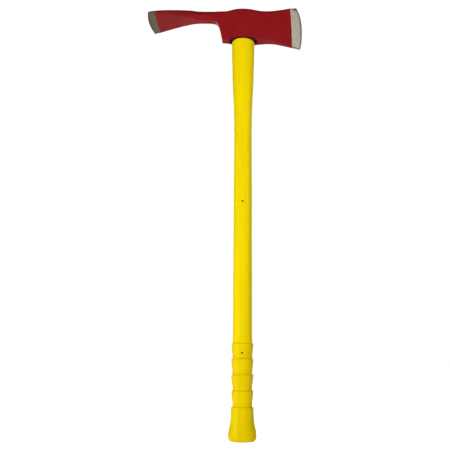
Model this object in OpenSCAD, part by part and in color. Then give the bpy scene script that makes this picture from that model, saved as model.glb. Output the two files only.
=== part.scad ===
// Fire axe with a cross-set grub hoe: one forged head bonded to a
// fibreglass-cored, plastic-jacketed handle with a ringed, flared grip.
//
// Millimetres. +Z runs up the handle, +X points towards the axe bit, -X
// towards the hoe. The origin is the centre of the flat butt end.

/* [Handle] */
// Height of the head's flat underside above the butt end
seat_z = 856; // [700:1:980]
// Half-width of the jacket where it is slimmest
waist_a = 18.8; // [17.5:0.1:19.5]
// Half-width of the jacket at the collar under the head
collar_a = 23.9; // [21.5:0.1:24.5]
// Half-depth of the collar, front to back
collar_b = 18.6; // [16:0.1:19]
// Depth of the collar's rolled top rim at its front and back
collar_r = 2.5; // [2:0.5:6]
// Depth of the rolled rim at its two ends, where it is rounder
collar_ra = 5; // [2:0.5:6]
// Height of the rolled rim
collar_rz = 4; // [2:0.5:6]
// Roundness of the handle's cross-section: 2 is an ellipse, more is squarer
handle_pow = 2.35; // [2:0.05:3]
// Thickness of the dam bush's neck where it shows between collar and head
seal_t = 0.8; // [0.5:0.1:2]

/* [Grip] */
// Height of the grip's top edge
grip_top_z = 210.4; // [200:0.2:220]
// Height of the grip's lowest ring step
grip_low_z = 74.2; // [70:0.2:80]
// Number of tapering ring segments above the knob section
rings = 4; // [3:1:6]
// Half-width at the top of each ring
ring_a = 23.4; // [22.5:0.1:24]
// Half-width at the foot of each ring
ring_foot_a = 20.8; // [20:0.1:21]
// Half-width of the knob at its widest
knob_a = 30.7; // [28:0.1:32]
// Half-depth of the knob at its widest
knob_b = 23.4; // [21:0.1:25]
// Radius of the knob's rounded bottom edge
knob_r = 9; // [4:0.5:10]

/* [Core] */
// Half-width of the fibreglass core
core_a = 13.6; // [11:0.1:14.5]
// Half-depth of the fibreglass core
core_b = 9.6; // [8:0.1:10]
// Height of the core's lower end above the butt
core_bottom_z = 16; // [14:1:30]
// Diameter of the four core-locating holes in the jacket and the grip
pin_hole_d = 4; // [2:0.2:5]
// Height of the upper pair of locating holes
pin_hole_hi_z = 511; // [400:1:600]
// Height of the lower pair of locating holes
pin_hole_lo_z = 190; // [185:1:200]

/* [Eye] */
// Half-length of the oval eye hole, along X
eye_a = 29.5; // [27:0.1:30]
// Half-width of the oval eye hole, along Y
eye_b = 12.2; // [11:0.1:12.6]
// How far the resin stops below the top of the eye
fill_recess = 2; // [0.5:0.5:6]
// How far up the eye the dam bush's flange sits
dam_up = 6; // [3:0.5:12]
// Thickness of that flange
dam_t = 3; // [2:0.5:5]

/* [Head] */
// Height of the eye from its underside to its top
eye_h = 60; // [56:0.5:66]
// Half-thickness of the eye at its middle
eye_half_t = 19.6; // [18:0.1:21]
// Reach of the axe bit from the handle's centre line
bit_reach = 125.6; // [115:0.2:140]
// Length of the ground bevel at the middle of the axe bit
bit_bevel = 22.5; // [15:0.5:28]
// Rise of the bit's toe above the eye's underside
toe_h = 72.2; // [66:0.2:78]
// Drop of the bit's heel below the eye's underside
heel_drop = 17; // [8:0.5:24]
// Backset of the bit's toe behind the edge's fullest point
toe_set = 12.6; // [4:0.2:14]
// Backset of the bit's heel behind the edge's fullest point
heel_set = 4.2; // [1:0.2:8]
// Height of the edge's fullest point above the eye's underside
bit_full_h = 18; // [10:0.5:40]
// Reach of the hoe's cutting edge from the handle's centre line
hoe_reach = 201.4; // [185:0.5:215]
// Width of the hoe's cutting edge
hoe_w = 78; // [60:1:90]
// Backset of the hoe's corners behind the middle of its edge
hoe_bow = 5.6; // [0:0.2:10]
// Length of the hoe's ground bevel at the middle of its edge
hoe_bevel = 17.5; // [10:0.5:20]
// Half-width of the neck between the eye and the hoe
neck_half_w = 12; // [11:0.1:13]

/* [Hidden] */

col_enamel = [0.55, 0.11, 0.12];
col_yellow = [0.95, 0.84, 0.02];
col_fibre = [0.80, 0.78, 0.62];
col_resin = [0.42, 0.33, 0.20];
col_seal = [0.09, 0.08, 0.08];

fit = 0.02;            // gap between parts that are bonded face to face

// ---- curves -----------------------------------------------------------

// A table is a list of [station, value]. A monotone cubic runs through it.
function t_seg(t, x, i = 0) =
    i >= len(t) - 2 || x < t[i + 1][0] ? i : t_seg(t, x, i + 1);
function t_sec(t, i) = (t[i + 1][1] - t[i][1]) / (t[i + 1][0] - t[i][0]);
function t_slope(t, i) =
    i == 0 ? t_sec(t, 0)
    : i == len(t) - 1 ? t_sec(t, i - 1)
    : let (a = t_sec(t, i - 1), b = t_sec(t, i))
      a * b <= 0 ? 0 : 2 * a * b / (a + b);
function curve(t, x) =
    let (i = t_seg(t, x), h = t[i + 1][0] - t[i][0],
         u = min(1, max(0, (x - t[i][0]) / h)),
         m0 = t_slope(t, i) * h, m1 = t_slope(t, i + 1) * h)
    (2 * pow(u, 3) - 3 * u * u + 1) * t[i][1] + (pow(u, 3) - 2 * u * u + u) * m0
    + (3 * u * u - 2 * pow(u, 3)) * t[i + 1][1] + (pow(u, 3) - u * u) * m1;
function mix(a, b, u) = a + (b - a) * u;
function clamp01(u) = min(1, max(0, u));
// evenly spaced stations from a up to, but not including, b
function span(a, b, n) = [for (i = [0 : n - 1]) mix(a, b, i / n)];

// ---- oval sections ----------------------------------------------------

function spow(v, p) = sign(v) * pow(abs(v), p);
function oval(a, b, n, pw = 2) =
    [for (i = [0 : n - 1]) let (w = 360 * (i + 0.5) / n)
        [a * spow(cos(w), 2 / pw), b * spow(sin(w), 2 / pw)]];
module oval_prism(a, b, z0, z1, n = 40, pw = 2)
    translate([0, 0, z0]) linear_extrude(height = z1 - z0)
        polygon(oval(a, b, n, pw));

// Skin over rings of points, each ring a closed loop of n points, with flat
// ends. st is a list of [z, half-width, half-depth] and, if it isn't pw, the
// roundness of that ring.
module oval_loft(st, n, pw) {
    m = len(st);
    pts = [for (s = st) each [for (p = oval(s[1], s[2], n, len(s) > 3 ? s[3] : pw))
        [p[0], p[1], s[0]]]];
    side = [for (i = [0 : m - 2], j = [0 : n - 1])
        let (k = (j + 1) % n)
        [i * n + j, (i + 1) * n + j, (i + 1) * n + k, i * n + k]];
    polyhedron(points = pts,
               faces = concat([[for (j = [0 : n - 1]) j]], side,
                              [[for (j = [n - 1 : -1 : 0]) (m - 1) * n + j]]));
}

// ---- handle outline ---------------------------------------------------

jacket_bottom_z = grip_top_z - 14;    // the jacket laps inside the grip
jacket_top_z = seat_z - seal_t - fit;
lap_a = 17;
lap_b = 12.6;
shaft_a = waist_a + 1.55;

// half-width and half-depth of the jacket by height
jk_a = [[grip_top_z, shaft_a + 0.9], [grip_top_z + 8, shaft_a + 0.55],
        [232, shaft_a + 0.3], [262, shaft_a + 0.15], [340, shaft_a - 0.1],
        [430, shaft_a - 0.6], [500, shaft_a - 0.7], [580, waist_a + 0.45],
        [seat_z - 210, waist_a], [seat_z - 150, waist_a + 0.5],
        [seat_z - 128, mix(waist_a, collar_a, 0.28)],
        [seat_z - 95, mix(waist_a, collar_a, 0.60)],
        [seat_z - 62, mix(waist_a, collar_a, 0.78)],
        [seat_z - 43, mix(waist_a, collar_a, 0.90)],
        [seat_z - 18, collar_a - 0.2], [seat_z, collar_a]];
jk_b = [[grip_top_z, 15.7], [340, 15.4], [500, 15.1], [seat_z - 210, 14.7],
        [seat_z - 150, mix(14.7, collar_b, 0.18)],
        [seat_z - 95, mix(14.7, collar_b, 0.62)],
        [seat_z - 43, mix(14.7, collar_b, 0.92)], [seat_z, collar_b]];

// the section turns from squarish to a plain ellipse towards the collar
function jk_p(z) = mix(handle_pow, 2, clamp01((z - (seat_z - 150)) / 130));

jacket_zs = concat(
    span(grip_top_z - 1, jacket_top_z - 230, 9),
    span(jacket_top_z - 230, jacket_top_z - collar_rz, 13));
rim = [for (w = [0 : 15 : 75])
    let (z = jacket_top_z - collar_rz + collar_rz * sin(w), d = 1 - cos(w))
    [z, curve(jk_a, z) - collar_ra * d, curve(jk_b, z) - collar_r * d, jk_p(z)]];
jacket_st = concat(
    [[jacket_bottom_z, lap_a - 1, lap_b - 1], [jacket_bottom_z + 1, lap_a, lap_b],
     [grip_top_z - 1.05, lap_a, lap_b]],
    [for (z = jacket_zs) [z, curve(jk_a, z), curve(jk_b, z), jk_p(z)]],
    rim,
    [[jacket_top_z, collar_a - collar_ra - 0.1, collar_b - collar_r - 0.1,
      jk_p(jacket_top_z)]]);

// one ring segment, from its shoulder at zt down to its foot at zb
function ring_st(zt, zb, a, fa) = let (h = zt - zb)
    concat([for (u = [0 : 0.167 : 0.84]) let (s = pow(u, 1.6))
                [zb + 0.05 + (h - 3.05) * u, mix(fa, a, s),
                 mix(fa, a, s) - 5]],
           [[zt - 2.4, a, a - 5], [zt - 1.2, a - 0.25, a - 5.25],
            [zt - 0.4, a - 1.1, a - 6.1]]);
// height of the i-th ring edge: the rings grow slightly taller downwards
function ring_z(i) = let (v = i / rings)
    mix(grip_low_z, grip_top_z, v + 0.045 * v * (1 - v));
grip_st = concat(
    [for (w = [0 : 15 : 75]) let (d = knob_r * (1 - sin(w)))
        [knob_r * (1 - cos(w)), knob_a - 0.1 - d, knob_b - 0.1 - d]],
    [[knob_r, knob_a - 0.1, knob_b - 0.1], [knob_r + 3, knob_a, knob_b],
     [15.5, knob_a - 0.1, knob_b - 0.1], [19.5, knob_a - 0.35, knob_b - 0.4],
     [23.5, mix(24.5, knob_a, 0.83), mix(18.8, knob_b, 0.80)],
     [28, mix(24.5, knob_a, 0.67), mix(18.8, knob_b, 0.62)],
     [32.2, mix(24.5, knob_a, 0.51), mix(18.8, knob_b, 0.45)],
     [36.5, mix(24.5, knob_a, 0.35), mix(18.8, knob_b, 0.30)],
     [41, mix(24.5, knob_a, 0.24), mix(18.8, knob_b, 0.20)],
     [46, mix(24.5, knob_a, 0.16), mix(18.8, knob_b, 0.13)],
     [54, mix(24.5, knob_a, 0.07), 18.9], [60, 24.6, 18.8],
     [grip_low_z - 3, 24.4, 18.7],
     [grip_low_z - 1.2, 24.0, 18.4], [grip_low_z - 0.4, 23.0, 17.5]],
    [for (i = [0 : rings - 1]) each
        ring_st(ring_z(i + 1), ring_z(i),
                ring_a + 0.24 * (rings - 1 - i),
                ring_foot_a + 0.1 + 0.1 * (rings - 1 - i))],
    [[grip_top_z, ring_a - 2.2, ring_a - 7.2]]);

plug_a = 18;
plug_b = 12.4;
plug_h = 14;

// ---- head outline -----------------------------------------------------
// Stations run along X. Heights are above the eye's underside. Around the mouth
// of the eye the underside is spot-faced by 0.12, between the two hanger seats.

bit_line = bit_reach - bit_bevel;
hoe_line = -hoe_reach + hoe_bevel;
hoe_edge_h = 39.4;

top_h = [[-hoe_reach, hoe_edge_h], [hoe_line, 44.2], [-163, 48.6], [-146, 52.0],
         [-129, 55.5], [-113, 58.8], [-103, 60.4], [-92, 61.1], [-80, 60.9],
         [-62, 60.8], [-48, eye_h + 0.4], [-36, eye_h], [40, eye_h],
         [52, eye_h + 0.7], [64, eye_h + 2.3], [74, eye_h + 4.2], [84, eye_h + 6],
         [94, mix(eye_h, toe_h, 0.66)], [bit_line, mix(eye_h, toe_h, 0.80)],
         [bit_reach, toe_h]];
low_h = [[-163, 41.7], [-146, 43.1], [-129, 44.2], [-115, 44.2], [-101, 43.0],
         [-86, 42.5], [-73, 42.4], [-67, 42.1], [-62, 41.2], [-58, 39.8],
         [-54.5, 36.6], [-52, 32.6], [-50.2, 27.2], [-48.8, 21.5], [-47.6, 16],
         [-46.5, 11], [-45.6, 6], [-45.1, 2.4], [-44.8, 0], [-33, 0], [-32.4, 0.12],
         [32.4, 0.12], [33, 0], [44, 0],
         [52, -0.5], [64, mix(0, -heel_drop, 0.11)], [81, mix(0, -heel_drop, 0.36)],
         [bit_line - 1, mix(0, -heel_drop, 0.69)], [bit_reach, -heel_drop]];
function low_at(u) =
    u > -163 ? curve(low_h, u)
    : u > hoe_line ? mix(41.7, 38.9, (-163 - u) / (-163 - hoe_line))
    : mix(38.9, hoe_edge_h - 0.6, (hoe_line - u) / hoe_bevel);

// half-thickness across Y, at the top edge and at the bottom edge
wide_top = [[-hoe_reach, hoe_w / 2], [-163, mix(neck_half_w, hoe_w / 2, 0.70)],
            [-146, mix(neck_half_w, hoe_w / 2, 0.52)],
            [-129, mix(neck_half_w, hoe_w / 2, 0.33)],
            [-113, mix(neck_half_w, hoe_w / 2, 0.16)], [-100, neck_half_w + 1.2],
            [-88, neck_half_w + 0.2], [-70, neck_half_w], [-46, 10.6], [-40, 10.4],
            [-34, 11.2], [-28, 13.3], [-21, 16.0], [-14, eye_half_t - 1.4],
            [-7, eye_half_t - 0.2], [0, eye_half_t],
            [9, eye_half_t - 0.7], [17, 17.5], [22, 16.0], [30, 13.4], [38, 11.7],
            [47, 10.3], [60, 8.5], [80, 6.1], [bit_line, 3.7]];
wide_low = [[-70, neck_half_w], [-60, 10.8], [-52, 9.2], [-44, 7.8], [-39, 8.4],
            [-31, 10.0], [-24, 12.8], [-16, 16.6], [-8, eye_half_t - 0.5],
            [0, eye_half_t], [9, eye_half_t - 0.7], [17, 17.5], [30, 13.8],
            [42, 11.7], [60, 8.8], [80, 6.0], [bit_line, 3.6]];
function wt(u) = u > bit_line ? mix(3.7, 0.35, (u - bit_line) / bit_bevel)
                              : curve(wide_top, u);
function wl(u) = u > bit_line ? mix(3.6, 0.35, (u - bit_line) / bit_bevel)
               : u < -70 ? curve(wide_top, u) : curve(wide_low, u);

// corner radii, crown of the top and bottom, and barrel of the sides
rad_top = [[-hoe_reach, 0.2], [hoe_line, 1.2], [-129, 2.2], [-108, 4.5], [-92, 6.8],
           [-66, 6.5], [-50, 4], [-35, 3], [45, 2.6], [80, 2], [bit_line, 1.2],
           [bit_reach, 0.2]];
rad_low = [[-hoe_reach, 0.2], [hoe_line, 1.6], [-129, 2.6], [-108, 5], [-92, 7.4],
           [-70, 7.2], [-58, 5], [-48, 3.6], [-40, 2.2], [45, 2.2], [80, 2],
           [bit_line, 1.2], [bit_reach, 0.2]];
crown_t = [[-hoe_reach, 0], [-150, 0], [-110, 0.8], [-90, 1.4], [-66, 1.2], [-46, 0.3],
           [-35, 0], [bit_reach, 0]];
barrel = [[-60, 0], [-40, 0.4], [0, 0.9], [40, 0.6], [90, 0.3], [bit_line, 0],
          [bit_reach, 0]];

// half of a section, from the bottom centre round the +Y side to the top centre
n_flat = 5;
n_side = 8;
function half_sec(u) =
    let (zt = curve(top_h, u), zb = low_at(u), a = wt(u), b = wl(u),
         rt = min(curve(rad_top, u), 0.44 * (zt - zb), 0.8 * a),
         rb = min(curve(rad_low, u), 0.44 * (zt - zb), 0.8 * b),
         ct = curve(crown_t, u), bl = u < -60 ? 0 : curve(barrel, u))
    concat(
        [for (i = [0 : n_flat - 1]) [(b - rb) * i / n_flat, zb]],
        [for (w = [0 : 30 : 90]) [b - rb + rb * sin(w), zb + rb - rb * cos(w)]],
        [for (i = [1 : n_side - 1]) let (s = i / n_side)
            [mix(b, a, s) + 4 * s * (1 - s) * bl,
             mix(zb + rb, zt - ct - rt, s)]],
        [for (w = [0 : 30 : 90])
            [a - rt + rt * cos(w), zt - ct - rt + rt * sin(w)]],
        [for (i = [n_flat - 1 : -1 : 0]) let (s = i / n_flat)
            [(a - rt) * s, zt - ct * s * s]]);

// the cutting edges bow outward: stations near the ends are bent to suit
function backset(h) =
    let (v = h > bit_full_h ? (h - bit_full_h) / (toe_h - bit_full_h)
                            : (bit_full_h - h) / (bit_full_h + heel_drop))
    (h > bit_full_h ? toe_set : heel_set) * (0.56 * v * v + 0.44 * pow(v, 4));
function bend(u, y, h) =
    let (f = clamp01((-168 - u) / (hoe_reach - 168)),
         g = clamp01((u - 90) / (bit_reach - 90)),
         k = clamp01((u - 70) / (bit_line - 70)) * clamp01((bit_reach - u) / bit_bevel))
    u + hoe_bow * f * f * pow(2 * y / hoe_w, 2)
      - g * g * backset(h) - 0.045 * k * (h - 29);

head_us = concat(span(-hoe_reach, hoe_line, 4), span(hoe_line, -110, 6),
                 span(-110, -66, 4), span(-66, -54, 4),
                 [-54, -52.4, -51, -49.7, -48.4, -47.3, -46.3, -45.5, -45],
                 [-44.7, -41, -37, -33], span(-32.4, 32.4, 10), [32.4, 33, 38, 44],
                 span(48, bit_line, 5),
                 span(bit_line, bit_reach, 5), [bit_reach]);

module head_skin() {
    nu = len(head_us);
    h0 = half_sec(0);
    nh = len(h0);
    n = 2 * nh - 2;
    pts = [for (u = head_us) let (hs = half_sec(u)) each concat(
        [for (p = hs) [bend(u, p[0], p[1]), p[0], seat_z + p[1]]],
        [for (i = [nh - 2 : -1 : 1]) let (p = hs[i])
            [bend(u, p[0], p[1]), -p[0], seat_z + p[1]]])];
    side = [for (i = [0 : nu - 2], j = [0 : n - 1]) let (k = (j + 1) % n)
        each [[i * n + j, i * n + k, (i + 1) * n + k],
              [i * n + j, (i + 1) * n + k, (i + 1) * n + j]]];
    // the hoe end closes in strips from its bottom to its top, up to the last
    // rounded corner, and its straight sides in a fan from that corner
    c = nh - n_flat - 3;
    hoe_end = concat(
        [for (j = [0 : nh - 2 - c]) let (t = nh - 1 - j)
            each [[t, j + 1, j], [t, t - 1, j + 1],
                  [n - j - 1, n - t, (n - j) % n], [n - j - 1, n - t + 1, n - t]]],
        [for (i = [c - 1 : -1 : nh - c]) each
            [[c, i, i - 1], [n - i, n - c, n - i + 1]]]);
    // the bit end closes in strips from its -Y side to its +Y side, and in a fan
    // along its straight bottom and top
    e = (nu - 1) * n;
    q = n_flat + 1;
    bit_end = concat(
        [for (i = [-q : q - 2]) [e + (i + n) % n, e + (i + 1 + n) % n, e + q]],
        [for (j = [q : nh - 2 - q]) each
            [[e + j, e + j + 1, e + n - j], [e + j + 1, e + n - j - 1, e + n - j]]],
        [for (i = [nh - q : nh - 2 + q])
            [e + i, e + i + 1, e + nh - 1 - q]]);
    polyhedron(points = pts, faces = concat(side, hoe_end, bit_end));
}

// ---- parts ------------------------------------------------------------

// one forging: eye, axe bit, neck and grub hoe
module head() color(col_enamel)
    difference() {
        head_skin();
        oval_prism(eye_a, eye_b, seat_z - 30, seat_z + eye_h + 20);
    }

// pultruded rod from the top of the eye down to the butt plug
module core_rod() color(col_fibre)
    oval_prism(core_a, core_b, core_bottom_z, seat_z + eye_h - fill_recess + 0.6,
               pw = 2.4);

module pin_holes(z)
    translate([0, 0, z]) rotate([90, 0, 0])
        cylinder(d = pin_hole_d, h = 120, center = true, $fn = 48);

// moulded sheath over the core, flared into a collar under the head
module shaft_jacket() color(col_yellow)
    difference() {
        oval_loft(jacket_st, 48, handle_pow);
        oval_prism(core_a + fit, core_b + fit, jacket_bottom_z - 5, seat_z + 5,
                   pw = 2.4);
        pin_holes(pin_hole_hi_z);
    }

// ringed sleeve with a flared knob, over the core's lower end
module grip() color(col_yellow)
    difference() {
        oval_loft(grip_st, 48, handle_pow);
        oval_prism(core_a + fit, core_b + fit, plug_h - 1, grip_top_z + 5, pw = 2.4);
        oval_prism(plug_a + fit, plug_b + fit, -5, plug_h + 2 * fit);
        translate([0, 0, 0])
            oval_prism(lap_a + 2 * fit, lap_b + 2 * fit, jacket_bottom_z - 0.1,
                       grip_top_z + 5, pw = handle_pow, n = 48);
        pin_holes(pin_hole_lo_z);
    }

// plug that closes the butt below the core
module butt_plug() color(col_seal)
    union() {
        oval_prism(plug_a, plug_b, 0, plug_h);
        oval_prism(core_a, core_b, plug_h - 1, core_bottom_z - fit, pw = 2.4);
    }

// resin cast between the core and the wall of the eye, above the dam
module epoxy_fill() color(col_resin)
    difference() {
        oval_prism(eye_a - fit, eye_b - fit, seat_z + dam_up + dam_t + fit,
                   seat_z + eye_h - fill_recess);
        oval_prism(core_a + fit, core_b + fit, seat_z - 5, seat_z + eye_h + 5,
                   pw = 2.4);
    }

// flanged bush that dammed the liquid resin: its neck shows between the collar
// and the head, and its flange closes the eye a little way up
module eye_seal() color(col_seal)
    difference() {
        union() {
            oval_prism(18.7, eye_b - 0.3, seat_z - seal_t, seat_z + dam_up + 1,
                       pw = 2.2);
            oval_prism(eye_a - fit, eye_b - fit, seat_z + dam_up,
                       seat_z + dam_up + dam_t);
        }
        oval_prism(core_a + fit, core_b + fit, seat_z - 9, seat_z + 20, pw = 2.4);
    }

head();
core_rod();
shaft_jacket();
grip();
butt_plug();
epoxy_fill();
eye_seal();
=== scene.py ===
"""Looks of the fire axe: a forged head with an axe bit and a cross-set grub hoe,
bonded to a fibreglass-cored handle with a yellow jacket and a ringed, flared grip.

Shapes are worked out in millimetres in the row frame and stored in metres.
+Z runs up the handle, +X points to the axe bit and -X to the hoe.
"""

import math

import bpy
import numpy as np
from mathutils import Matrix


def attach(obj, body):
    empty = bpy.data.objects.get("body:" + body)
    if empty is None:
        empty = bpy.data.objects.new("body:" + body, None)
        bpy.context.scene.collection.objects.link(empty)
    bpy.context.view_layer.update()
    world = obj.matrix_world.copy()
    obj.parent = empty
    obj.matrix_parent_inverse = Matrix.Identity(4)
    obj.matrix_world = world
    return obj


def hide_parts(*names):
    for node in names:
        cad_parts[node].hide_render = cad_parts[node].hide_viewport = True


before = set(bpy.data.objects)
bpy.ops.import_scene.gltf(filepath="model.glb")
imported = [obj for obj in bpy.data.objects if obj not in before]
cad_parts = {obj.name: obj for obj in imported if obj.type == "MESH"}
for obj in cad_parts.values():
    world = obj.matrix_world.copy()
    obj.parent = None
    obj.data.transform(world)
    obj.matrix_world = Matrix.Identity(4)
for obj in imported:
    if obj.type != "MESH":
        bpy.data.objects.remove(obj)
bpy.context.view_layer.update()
scene = bpy.context.scene

# ---------------------------------------------------------------- dimensions
SEAT = 856.0
WAIST_A, COLLAR_A, COLLAR_B, COLLAR_R = 18.8, 23.9, 18.6, 2.5
COLLAR_RA, COLLAR_RZ = 5.0, 4.0
HPOW = 2.35
SEAL_T, FIT = 0.8, 0.02
DAM_LO, DAM_HI = 6.0, 9.0
GRIP_TOP, GRIP_LOW = 210.4, 74.2
RINGS, RING_A, RING_FOOT = 4, 23.4, 20.8
KNOB_A, KNOB_B, KNOB_R = 30.7, 23.4, 9.0
CORE_A, CORE_B, CORE_BOTTOM, CORE_POW = 13.6, 9.6, 16.0, 2.4
PIN_R, PIN_HI, PIN_LO = 2.0, 511.0, 190.0
EYE_A, EYE_B, FILL_RECESS = 29.5, 12.2, 2.0
EYE_H, EYE_T = 60.0, 19.6
BIT_REACH, BIT_BEVEL, TOE_H, HEEL = 125.6, 22.5, 72.2, 17.0
TOE_SET, HEEL_SET, FULL_H = 12.6, 4.2, 18.0
HOE_REACH, HOE_W, HOE_BOW, HOE_BEVEL, NECK = 201.4, 78.0, 5.6, 17.5, 12.0
BIT_LINE = BIT_REACH - BIT_BEVEL
HOE_LINE = -HOE_REACH + HOE_BEVEL
SHAFT_A = WAIST_A + 1.55
JACKET_TOP = SEAT - SEAL_T - FIT
LAP_A, LAP_B, LAP_Z = 17.0, 12.6, GRIP_TOP - 14
PLUG_A, PLUG_B, PLUG_H = 18.0, 12.4, 14.0


# ---------------------------------------------------------------- small maths
def table_curve(table):
    """A monotone cubic through [station, value] rows, as a function of an array."""
    t = np.array(table, float)
    xs, ys = t[:, 0], t[:, 1]
    sec = np.diff(ys) / np.diff(xs)
    m = np.empty(len(xs))
    m[0], m[-1] = sec[0], sec[-1]
    for i in range(1, len(xs) - 1):
        a, b = sec[i - 1], sec[i]
        m[i] = 0.0 if a * b <= 0 else 2 * a * b / (a + b)

    def f(x):
        x = np.asarray(x, float)
        i = np.clip(np.searchsorted(xs, x, side="right") - 1, 0, len(xs) - 2)
        h = xs[i + 1] - xs[i]
        u = np.clip((x - xs[i]) / h, 0, 1)
        return (
            (2 * u**3 - 3 * u**2 + 1) * ys[i]
            + (u**3 - 2 * u**2 + u) * m[i] * h
            + (3 * u**2 - 2 * u**3) * ys[i + 1]
            + (u**3 - u**2) * m[i + 1] * h
        )

    return f


def mix(a, b, u):
    return a + (b - a) * u


def step(a, b, x):
    """Smooth 0 to 1 as x goes from a to b."""
    u = np.clip((x - a) / (b - a), 0, 1)
    return u * u * (3 - 2 * u)


def spow(v, p):
    return np.sign(v) * np.abs(v) ** p


_rng = np.random.default_rng(20240611)
_lattice = _rng.random((32, 32, 32))


def value_noise(p, scale):
    """Smooth noise from -1 to 1 at points p in mm, with features about scale mm."""
    q = np.asarray(p, float) / scale
    i = np.floor(q).astype(int)
    f = q - i
    f = f * f * f * (f * (f * 6 - 15) + 10)
    out = 0.0
    for dx in (0, 1):
        for dy in (0, 1):
            for dz in (0, 1):
                w = (
                    (f[..., 0] if dx else 1 - f[..., 0])
                    * (f[..., 1] if dy else 1 - f[..., 1])
                    * (f[..., 2] if dz else 1 - f[..., 2])
                )
                out = out + w * _lattice[
                    (i[..., 0] + dx) % 32, (i[..., 1] + dy) % 32, (i[..., 2] + dz) % 32
                ]
    return out * 2 - 1


def oval_ring(a, b, pw, w):
    """Points of an oval at parameters w, in radians."""
    return a * spow(np.cos(w), 2 / pw), b * spow(np.sin(w), 2 / pw)


# ---------------------------------------------------------------- mesh helper
class Build:
    """Collects vertices, faces, face-corner UVs and vertex values, then makes a mesh."""

    def __init__(self):
        self.v, self.f, self.uv, self.vals = [], [], [], {}
        self.n = 0

    def add(self, pts, **values):
        pts = np.asarray(pts, float).reshape(-1, 3)
        start = self.n
        self.v.append(pts)
        for k, x in values.items():
            self.vals.setdefault(k, []).append(
                (start, np.broadcast_to(np.asarray(x, float).ravel(), (len(pts),)))
            )
        self.n += len(pts)
        return start

    def face(self, idx, uv):
        self.f.append(tuple(int(i) for i in idx))
        self.uv.append([tuple(float(c) for c in q) for q in uv])

    def make(self, name, merge=1e-7):
        me = bpy.data.meshes.new(name)
        co = np.vstack(self.v) * 0.001
        faces, uvs = self.f, self.uv
        me.from_pydata(co.tolist(), [], faces)
        layer = me.uv_layers.new(name="OFBake")
        flat = np.array([c for q in uvs for c in q], np.float32)
        layer.data.foreach_set("uv", flat.ravel())
        for k, parts in self.vals.items():
            full = np.zeros(self.n, np.float32)
            for start, x in parts:
                full[start : start + len(x)] = x
            at = me.attributes.new(k, "FLOAT", "POINT")
            at.data.foreach_set("value", full)
        ob = bpy.data.objects.new(name, me)
        scene.collection.objects.link(ob)
        import bmesh

        bm = bmesh.new()
        bm.from_mesh(me)
        bmesh.ops.remove_doubles(bm, verts=bm.verts, dist=merge)
        bmesh.ops.dissolve_degenerate(bm, dist=1e-8, edges=bm.edges)
        bmesh.ops.recalc_face_normals(bm, faces=bm.faces)
        bm.to_mesh(me)
        bm.free()
        me.update()
        return ob


def smooth(ob, angle=35.0):
    """Smooth shading, with edges sharper than the angle kept crisp."""
    me = ob.data
    me.shade_smooth()
    import bmesh

    bm = bmesh.new()
    bm.from_mesh(me)
    lim = math.radians(angle)
    for e in bm.edges:
        e.smooth = not (len(e.link_faces) == 2 and e.calc_face_angle(0.0) > lim)
    bm.to_mesh(me)
    bm.free()
    me.update()


def grid_faces(b, idx, uu, vv, wrap=False, skip=None, flip=False):
    """Quads over an index grid [row, column]. uu and vv are UV grids, one column wider if wrap."""
    rows, cols = idx.shape
    last = cols if wrap else cols - 1
    for i in range(rows - 1):
        for j in range(last):
            if skip is not None and skip[i, j]:
                continue
            k = (j + 1) % cols
            q = [idx[i, j], idx[i, k], idx[i + 1, k], idx[i + 1, j]]
            t = [
                (uu[i, j], vv[i, j]),
                (uu[i, j + 1], vv[i, j + 1]),
                (uu[i + 1, j + 1], vv[i + 1, j + 1]),
                (uu[i + 1, j], vv[i + 1, j]),
            ]
            if flip:
                q.reverse(), t.reverse()
            if len(set(q)) < 3:
                continue
            b.face(q, t)


# ---------------------------------------------------------------- head outline
top_h = table_curve(
    [[-HOE_REACH, 39.4], [HOE_LINE, 44.2], [-163, 48.6], [-146, 52.0],
     [-129, 55.5], [-113, 58.8], [-103, 60.4], [-92, 61.1], [-80, 60.9],
     [-62, 60.8], [-48, EYE_H + 0.4], [-36, EYE_H], [40, EYE_H],
     [52, EYE_H + 0.7], [64, EYE_H + 2.3], [74, EYE_H + 4.2], [84, EYE_H + 6],
     [94, mix(EYE_H, TOE_H, 0.66)], [BIT_LINE, mix(EYE_H, TOE_H, 0.80)],
     [BIT_REACH, TOE_H]]
)
low_main = table_curve(
    [[-163, 41.7], [-146, 43.1], [-129, 44.2], [-115, 44.2], [-101, 43.0],
     [-86, 42.5], [-73, 42.4], [-67, 42.1], [-62, 41.2], [-58, 39.8],
     [-54.5, 36.6], [-52, 32.6], [-50.2, 27.2], [-48.8, 21.5], [-47.6, 16],
     [-46.5, 11], [-45.6, 6], [-45.1, 2.4], [-44.8, 0], [-33, 0], [-32.4, 0.12],
     [32.4, 0.12], [33, 0], [44, 0],
     [52, -0.5], [64, -0.11 * HEEL], [81, -0.36 * HEEL],
     [BIT_LINE - 1, -0.69 * HEEL], [BIT_REACH, -HEEL]]
)


def low_h(u):
    u = np.asarray(u, float)
    a = mix(41.7, 38.9, np.clip((-163 - u) / (-163 - HOE_LINE), 0, 1))
    b = mix(38.9, 38.8, (HOE_LINE - u) / HOE_BEVEL)
    return np.where(u > -163, low_main(u), np.where(u > HOE_LINE, a, b))


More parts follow.
